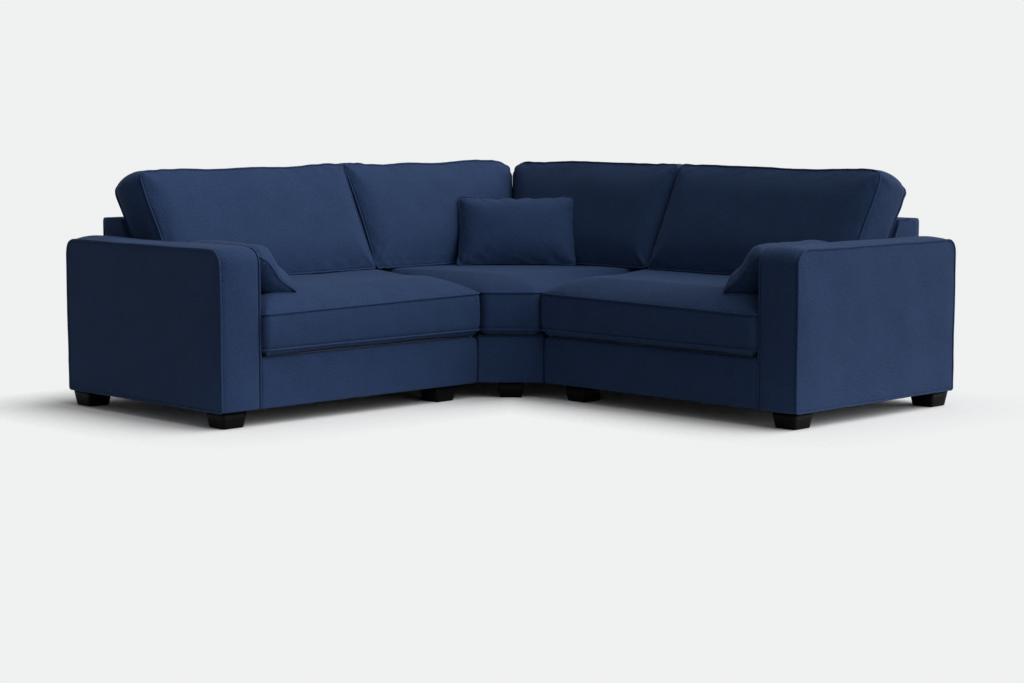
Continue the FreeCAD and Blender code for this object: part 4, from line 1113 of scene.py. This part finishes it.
def back_form(low_x, high_x, side, seed):
    """A boxed back cushion, leaning; high_x is None where it meets its twin in the corner."""
    foot = back_foot()
    inset = 0.0036
    thick, tall = sizes().back_thickness, sizes().back_height - inset
    rear = 0.016

    def end_at(rise, out):
        if high_x is not None:
            return high_x - inset
        return foot[1] + rise * UP_LEAN[1] + out * OUT_LEAN[1] - 0.0005 - inset * 1.4

    def plan(out):
        bottom = -out * math.tan(LEAN) + inset
        top = tall + (0.022 if out == rear else 0)
        return [(low_x + inset, bottom), (end_at(bottom, out), bottom),
                (end_at(top, out), top), (low_x + inset, top)]

    def place(a, b, c):
        base = np.column_stack([a, np.full_like(a, foot[1]), np.full_like(a, foot[2])])
        return base + np.outer(b, UP_LEAN) + np.outer(c, OUT_LEAN)

    inner, outer_radius = (0.062, 0.03) if high_x is None else (0.03, 0.045)
    form = boxed((plan(rear), rear), (plan(thick), thick), place, 78, 34, 13,
                 [0.012, 0.012, inner, outer_radius], [0, 0.005, 0.002, 0.005],
                 [(-rear + 0.0006, 0.02, 2.0), (sizes().back_crown, 0.14, 2.9)],
                 [0.6, 0.55, 0.8, 0.55], bulge=0.019)
    high = np.clip(form.flat[:, 1] / tall, 0, 1) ** 3
    if high_x is not None:
        outer = np.clip((high_x - form.flat[:, 0]) / (high_x - low_x), 0, 1)
        form.points -= np.outer(0.008 * high * outer, UP_LEAN)
        form.points[:, 0] -= flare(form.points[:, 2]) * np.clip(outer * 3 - 2, 0, 1) ** 1.5
    form.points += np.outer(high * ripple(form.points, seed, 0.34, 0.0042), UP_LEAN)
    form.points += np.outer(high * ripple(form.points, seed + 3, 0.28, 0.003), OUT_LEAN)
    return for_wing(side, form)


class SOFA_OT_back_cushions(bpy.types.Operator):
    """Makes the four leaning back cushions with their piping"""
    bl_idname = "sofa.back_cushions"
    bl_label = "Back cushions"

    def execute(self, context):
        foot = back_foot()
        low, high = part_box("left_back_cushion")
        corner_low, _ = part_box("left_corner_back_cushion")
        diagonal = 1 / ROOT_TWO
        for side, seed in (("left", 101), ("right", 121)):
            shared = [
                wall_for(side, (0, 0, 1), foot[2]),
                wall_for(side, OUT_LEAN, float(OUT_LEAN @ foot) + 0.0004)]
            outer = [wall_for(side, (1, 0, 0), lambda points: low[0] - 2 * flare(points[:, 2])),
                     wall_for(side, (-1, 0, 0), -high[0])]
            inner = [wall_for(side, (1, 0, 0), corner_low[0]),
                     wall_for(side, (-diagonal, diagonal, 0), 0.0002)]
            for body, start, end, own_seed, walls in (
                (f"{side}_back", low[0], high[0], seed, shared + outer),
                (f"{side}_corner_back", corner_low[0], None, seed + 7, shared + inner),
            ):
                form = back_form(start, end, side, own_seed)
                finish_cushion(form, body, 0.7, own_seed, walls, 0.0016)
        return {"FINISHED"}


# Scatter cushions

def pillow(width, height, thickness, place, draw, reach, bend=None):
    """A knife-edged cushion: two Coons panels that share one seam.

    Each panel's height is thickness / 2 * swell(distance to the seam), and bend moves both
    out of the plane by a function of the place.
    """
    half = width / 2
    corners = [(-half, 0), (half, 0), (half, height), (-half, height)]
    wide, tall = 60, 42
    loop = rounded_outline(corners, [0.008] * 4, [draw] * 4,
                           [("corner", k) for k in range(4)], [wide, tall, wide, tall])
    flat = spanned(loop, wide, tall).reshape(-1, 2)
    rim = rim_of(wide, tall)
    inset = depth_within(flat, corners, [1] * 4)
    rise = thickness / 2 * swell(np.maximum(inset - inset[rim].mean(), 0), reach, 2.3)
    rise[rim] = 0
    size = len(flat)
    back_index = np.arange(size)
    inner = np.setdiff1d(back_index, rim)
    back_index[inner] = size + np.arange(len(inner))
    points = np.vstack([np.column_stack([flat, rise]),
                        np.column_stack([flat[inner], -rise[inner]])])
    if bend is not None:
        points[:, 2] += bend(points[:, 0], points[:, 1] / height)
    grid = np.arange(size).reshape(tall + 1, wide + 1)
    quads = [quads_of(grid), quads_of(back_index.reshape(tall + 1, wide + 1))[:, ::-1]]
    uv = [flat[quads_of(grid)], flat[quads_of(grid)[:, ::-1]]]
    form = SimpleNamespace(points=place(points[:, 0], points[:, 1], points[:, 2]),
                           quads=np.vstack(quads), uv=np.concatenate(uv), seams=[rim], flat=points)
    return facing_out(form)


def arm_bend(across, share):
    """Slump of the cushion beside an arm: it stands out above its middle and sags below it."""
    return 0.01 * np.exp(-((share - 0.72) / 0.15) ** 2) - 0.008 * np.exp(-((share - 0.33) / 0.15) ** 2)


def beside_arm(points):
    """The arm's inner face with the rounding of its upper edge."""
    return ARM_INNER + 0.004 - 0.03 * np.clip((points[:, 2] - ARM_TOP + 0.004) / 0.02, 0, 1)


def add_pillow(name, form, body, node, seed, walls):
    most_swell, slack = 0.02, 0.004
    form = blown(name, form, most_swell, walls, grow=slack)
    form = rested(puckered(form, seed, 0.0022, 0.045, 0.05), walls)
    piece = add_mesh(name, form, woven("navy_cloth", colours().cloth), form.seams)
    subdivided(piece)
    settle(piece, body, "cushion_cloth", node, fill=0.6)
    add_piping(f"{name}_seam", form, body, radius=0.0016, outward=0.2)


class SOFA_OT_scatter_cushions(bpy.types.Operator):
    """Makes the cushion across the corner and the one beside each arm"""
    bl_idname = "sofa.scatter_cushions"
    bl_label = "Scatter cushions"

    def execute(self, context):
        level = back_foot()[2]
        floor = ((0, 0, 1), level)
        lean = math.atan(math.tan(LEAN) * ROOT_TWO)
        inward = np.array([1, 1, 0]) / ROOT_TWO
        across = np.array([1, -1, 0]) / ROOT_TWO
        up = inward * math.sin(lean) + np.array([0, 0, math.cos(lean)])
        out = np.array([0, 0, math.sin(lean)]) - inward * math.cos(lean)
        front = sizes().back_thickness + sizes().back_crown + 0.0004
        face = back_foot()[1] - front / math.cos(LEAN)
        wide, high = 0.502, 0.340
        plan_width, clearance, shift = 0.49, 0.022, 0.022
        middle = face - (plan_width / 2 + clearance) / ROOT_TWO
        foot = np.array([middle, middle, level]) + across * shift

        def lumbar_place(a, b, c):
            return foot + np.outer(a, across) + np.outer(b, up) + np.outer(c, out)

        plane = float(OUT_LEAN @ back_foot()) + front
        walls = [floor, (OUT_LEAN, plane), (OUT_LEAN[[1, 0, 2]], plane)]
        form = pillow(wide, high, 0.104, lumbar_place, 0.010, 0.13)
        away = np.hypot(form.flat[:, 0] - wide / 2, form.flat[:, 1] - high)
        form.points += np.outer(np.exp(-(away / 0.07) ** 2), across * 0.018 + up * 0.004)
        add_pillow("lumbar", form, "lumbar", "lumbar_cushion", 141, walls)
        for side, seed in (("left", 151), ("right", 161)):
            long, tall, thick = 0.44, 0.262, 0.135
            upper_edge, arm_gap, slump = 0.653, 0.010, 0.028
            tilt = math.acos((upper_edge - level) / tall)
            rise = np.array([-math.sin(tilt), 0, math.cos(tilt)])
            face_way = np.array([math.cos(tilt), 0, math.sin(tilt)])
            start = np.array([ARM_INNER + arm_gap + tall * math.sin(tilt),
                              SEAT_REAR + 0.0005 - PILLOW_REAR - PILLOW_HALF, level - PILLOW_SINK])

            def arm_place(a, b, c):
                return start + np.outer(a, (0, 1, 0)) + np.outer(b, rise) + np.outer(c, face_way)

            form = pillow(long, tall, thick, arm_place, 0.006, 0.075, arm_bend)
            front_end = np.clip(-form.flat[:, 0] / PILLOW_HALF, 0, 1) ** 2 * form.flat[:, 1] / tall
            form.points -= np.outer(front_end * slump, rise)
            form = for_wing(side, form)
            walls = [((0, 0, 1), level - PILLOW_SINK), wall_for(side, (1, 0, 0), beside_arm)]
            add_pillow(f"{side}_scatter", form, f"{side}_arm_pillow", f"{side}_arm_cushion", seed, walls)
        return {"FINISHED"}


# Feet

def foot_form(centre, turn, top, bottom, height):
    """A square foot: superellipse rings from a chamfered sole up to the base."""
    sides, power = 48, 40.0
    levels = np.array([0, 0.0015, 0.004, height * 0.5, height - 0.001])
    widths = bottom + (top - bottom) * levels / height
    widths = widths - np.array([0.005, 0.0015, 0, 0, 0])
    around = np.arange(sides) * 2 * math.pi / sides
    angle = around + math.radians(turn)
    radius = (np.abs(np.cos(around)) ** power + np.abs(np.sin(around)) ** power) ** (-1 / power)
    rings = np.stack([
        np.column_stack([centre[0] + width / 2 * radius * np.cos(angle),
                         centre[1] + width / 2 * radius * np.sin(angle),
                         np.full(sides, level)])
        for width, level in zip(widths, levels)])
    sole, head = (np.array([[*centre, level]]) for level in (0.0, levels[-1]))
    stack = np.concatenate([
        np.repeat(sole, sides, axis=0)[None], (sole + (rings[0] - sole) * 0.5)[None], rings,
        (head + (rings[-1] - head) * 0.5)[None], np.repeat(head, sides, axis=0)[None]])
    index = np.arange(stack.shape[0] * sides).reshape(stack.shape[0], sides)
    index[0] = index[0, 0]
    index[-1] = index[-1, 0]
    quads = quads_of(np.hstack([index, index[:, :1]]))
    points = stack.reshape(-1, 3)
    return facing_out(SimpleNamespace(points=points, quads=quads, uv=points[quads][..., :2]))


class SOFA_OT_feet(bpy.types.Operator):
    """Makes the square tapered feet"""
    bl_idname = "sofa.feet"
    bl_label = "Feet"

    def execute(self, context):
        top, bottom, inset = 0.108, 0.088, 0.026
        middle = inset + bottom / 2
        setback = 0.157
        wing = [(middle - HALF, FRONT + middle), (middle - HALF, HALF - middle),
                (JOIN - setback, FRONT + middle), (JOIN - setback, HALF - middle)]
        bevel = (JOIN + FRONT + middle * ROOT_TWO) / 2
        corner = [(bevel, bevel), (JOIN + middle, HALF - middle), (HALF - middle, HALF - middle),
                  (HALF - middle, JOIN + middle)]
        sets = {"left": wing, "right": [(y, x) for x, y in wing], "corner": corner}
        for side, spots in sets.items():
            forms = [foot_form(spot, 45 if side == "corner" and k == 0 else 0, top, bottom, BASE_LOW)
                     for k, spot in enumerate(spots)]
            lacquer = lacquered("black_lacquer", colours().feet)
            piece = add_mesh(f"{side}_foot_set", joined_forms(forms), lacquer)
            merge_points(piece, 1e-6)
            settle(piece, "frame", "feet", f"{side}_feet")
        return {"FINISHED"}


# Deck, dust cloth and what is inside

def sheet_form(corners, low, high, anchors):
    """A thin closed slab over a plan polygon."""
    corners = np.asarray(corners, float)
    step, number = 0.03, len(corners)
    wide, tall = (max(int(span / step), 4) for span in np.ptp(corners, axis=0))
    if anchors:
        wide = tall = max(wide, tall)
    return boxed((corners, low), (corners, high), seat_place, wide, tall, 2, [0.004] * number,
                 [0] * number, [(0.0, 0.05, 2.0), (0.0, 0.05, 2.0)], [1] * number, anchors=anchors)


class SOFA_OT_decks(bpy.types.Operator):
    """Makes the felt over the springs and the dust cloth under the base"""
    bl_idname = "sofa.decks"
    bl_label = "Decks"

    def execute(self, context):
        felt = matted("grey_felt", (0.10, 0.10, 0.105), (0.26, 0.26, 0.27), 420.0)
        dust = matted("black_dust_cloth", (0.008, 0.008, 0.009), (0.03, 0.03, 0.033), 700.0)
        pentagon = [("side", 0), ("corner", 2), ("corner", 3), ("corner", 4)]
        for node, material, slot in (
            ("deck_felt", felt, "felt"), ("dust_cloth", dust, "dust_cloth"),
        ):
            for side in ("left", "right", "corner"):
                low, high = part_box(f"{side}_{node}")
                behind = 0.0095 if slot == "felt" else 0.0
                if side == "left":
                    low[1] += behind
                if side == "right":
                    low[0] += behind
                corners = [(low[0], low[1]), (high[0], low[1]), (high[0], high[1]), (low[0], high[1])]
                anchors = None
                if side == "corner":
                    cut = JOIN + FRONT + (COVER + behind) * ROOT_TWO
                    corners = [(low[0], cut - low[0]), (cut - low[0], low[0])] + corners[1:]
                    anchors = pentagon
                form = sheet_form(corners, low[2], high[2], anchors)
                piece = add_mesh(f"{side}_{node}_sheet", form, material)
                settle(piece, "frame", slot, f"{side}_{node}")
                wide, long = high[0] - low[0], high[1] - low[1]
                cut_off = (cut - 2 * low[0]) ** 2 / 2 if side == "corner" else 0.0
                wide * long - cut_off
                f"{side}_seat_springs" if slot == "felt" else f"{side}_base_rails"
        return {"FINISHED"}


class SOFA_OT_inner_frame(bpy.types.Operator):
    """Gives the timber, springs, webbing and fasteners their finishes"""
    bl_idname = "sofa.inner_frame"
    bl_label = "Inner frame"

    def execute(self, context):
        finishes = [
            (("arm_frame", "foot_blocks", "base_rails", "back_frame"), board("sawn_board")),
            (("seat_springs", "foot_bolts", "foot_tee_nuts", "link_"), steel("zinc_steel")),
            (("spring_clips",), matted("black_nylon", (0.012, 0.012, 0.012), (0.03, 0.03, 0.03), 90.0, 0.5)),
            (("webbing",), matted("elastic_webbing", (0.05, 0.045, 0.04), (0.16, 0.15, 0.13), 300.0)),
        ]
        for name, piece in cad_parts.items():
            for words, material in finishes:
                if any(word in name for word in words):
                    piece.data.materials.clear()
                    piece.data.materials.append(material)
        return {"FINISHED"}


# Stage

def floor_material():
    """Pale floor that fades out to the background's white at a distance."""
    ground = Shader("studio_floor", 0.9)
    place = ground.place()
    x, y, _ = ground.split(place)

    def beyond(value, low, high):
        """Distance of a coordinate from the stretch between two numbers."""
        from_middle = ground.math("ABSOLUTE", value - (low + high) / 2)
        return ground.math("MAXIMUM", from_middle - (high - low) / 2, 0.0)

    wings = []
    for first, second in ((x, y), (y, x)):
        side, end = beyond(first, -HALF, HALF), beyond(second, FRONT, HALF)
        wings.append(ground.math("SQRT", side * side + end * end))
    away = ground.math("MINIMUM", *wings)
    clean, rate = 0.05, 2.6
    fade = ground.math("MULTIPLY", away - clean, rate)
    fade = ground.math("MAXIMUM", ground.math("MINIMUM", fade, 1.0), 0.0)
    ground.give("Base Color", (*colours().floor, 1))
    ground.surface.inputs["Specular IOR Level"].default_value = 0.1
    clear = ground.node("ShaderNodeBsdfTransparent")
    mixed = ground.node("ShaderNodeMixShader", None, i0=fade, i1=ground.surface.outputs[0],
                        i2=clear.outputs[0])
    output = ground.tree.nodes["Material Output"]
    ground.tree.links.new(mixed.outputs[0], output.inputs["Surface"])
    return ground.material


def add_sun(name, towards, strength, spread):
    """A broad soft light from one direction, with the spread of a large softbox in degrees."""
    lamp = bpy.data.lights.new(name, "SUN")
    lamp.energy = strength
    lamp.angle = math.radians(spread)
    piece = bpy.data.objects.new(name, lamp)
    piece.rotation_euler = Vector(towards).to_track_quat("Z", "Y").to_euler()
    bpy.context.scene.collection.objects.link(piece)


class SOFA_OT_stage(bpy.types.Operator):
    """Makes the camera, lamps, background and floor"""
    bl_idname = "sofa.stage"
    bl_label = "Stage"

    def execute(self, context):
        scene = context.scene
        scene.view_settings.view_transform = "Standard"
        lens = bpy.data.cameras.new("camera")
        sensor_mm, focal_px, image_px = 36, 2125.385, 1024
        lens.sensor_width = sensor_mm
        lens.lens = sensor_mm * focal_px / image_px
        lens.clip_end = 100
        camera = bpy.data.objects.new("camera", lens)
        camera.location = (-5.737, -5.816, 1.121965)
        forward = Vector((0.69881, 0.70734, -0.10644))
        camera.rotation_euler = forward.to_track_quat("-Z", "Y").to_euler()
        scene.collection.objects.link(camera)
        scene.camera = camera

        add_sun("key", (0.5, -0.65, 0.66), 3.65, 84)

        world = bpy.data.worlds.new("studio")
        scene.world = world
        world.use_nodes = True
        tree = world.node_tree
        tree.nodes.clear()
        output = tree.nodes.new("ShaderNodeOutputWorld")
        mixed = tree.nodes.new("ShaderNodeMixShader")
        light, seen = tree.nodes.new("ShaderNodeBackground"), tree.nodes.new("ShaderNodeBackground")
        light.inputs["Color"].default_value = (1.0, 1.0, 1.0, 1)
        light.inputs["Strength"].default_value = 0.21
        seen.inputs["Color"].default_value = (0.871, 0.879, 0.879, 1)
        seen.inputs["Strength"].default_value = 1.0
        path = tree.nodes.new("ShaderNodeLightPath")
        total = path.outputs["Is Camera Ray"]
        for name in ("Is Glossy Ray", "Is Transmission Ray"):
            adding = tree.nodes.new("ShaderNodeMath")
            adding.operation = "MAXIMUM"
            tree.links.new(total, adding.inputs[0])
            tree.links.new(path.outputs[name], adding.inputs[1])
            total = adding.outputs[0]
        tree.links.new(total, mixed.inputs[0])
        tree.links.new(light.outputs[0], mixed.inputs[1])
        tree.links.new(seen.outputs[0], mixed.inputs[2])
        tree.links.new(mixed.outputs[0], output.inputs[0])

        size = 9.0
        form = SimpleNamespace(
            points=np.array([(-size, -size, 0), (size, -size, 0), (size, size, 0), (-size, size, 0)]),
            quads=np.array([[0, 1, 2, 3]]), uv=np.zeros((1, 4, 2)))
        add_mesh("floor", form, floor_material())
        return {"FINISHED"}


class SOFA_PT_panel(bpy.types.Panel):
    """Lists the sofa's pieces in the 3D view's sidebar"""
    bl_idname = "SOFA_PT_panel"
    bl_label = "Corner sofa"
    bl_space_type = "VIEW_3D"
    bl_region_type = "UI"
    bl_category = "Sofa"

    def draw(self, context):
        layout = self.layout
        for group in (context.scene.sofa_sizes, context.scene.sofa_colours):
            for name in group.__annotations__:
                layout.prop(group, name)
        for operator in OPERATORS:
            layout.operator(operator.bl_idname)


OPERATORS = (
    SOFA_OT_stage, SOFA_OT_feet, SOFA_OT_inner_frame, SOFA_OT_decks, SOFA_OT_bases,
    SOFA_OT_fixed_backs, SOFA_OT_arms, SOFA_OT_seat_cushions, SOFA_OT_back_cushions,
    SOFA_OT_scatter_cushions,
)
CLASSES = (SofaSizes, SofaColours, *OPERATORS, SOFA_PT_panel)


def register():
    for item in CLASSES:
        bpy.utils.register_class(item)
    bpy.types.Scene.sofa_sizes = bpy.props.PointerProperty(type=SofaSizes)
    bpy.types.Scene.sofa_colours = bpy.props.PointerProperty(type=SofaColours)


def unregister():
    del bpy.types.Scene.sofa_colours
    del bpy.types.Scene.sofa_sizes
    for item in reversed(CLASSES):
        bpy.utils.unregister_class(item)


def main():
    register()
    for operator in OPERATORS:
        group, name = operator.bl_idname.split(".")
        getattr(getattr(bpy.ops, group), name)()


if __name__ == "__main__":
    main()
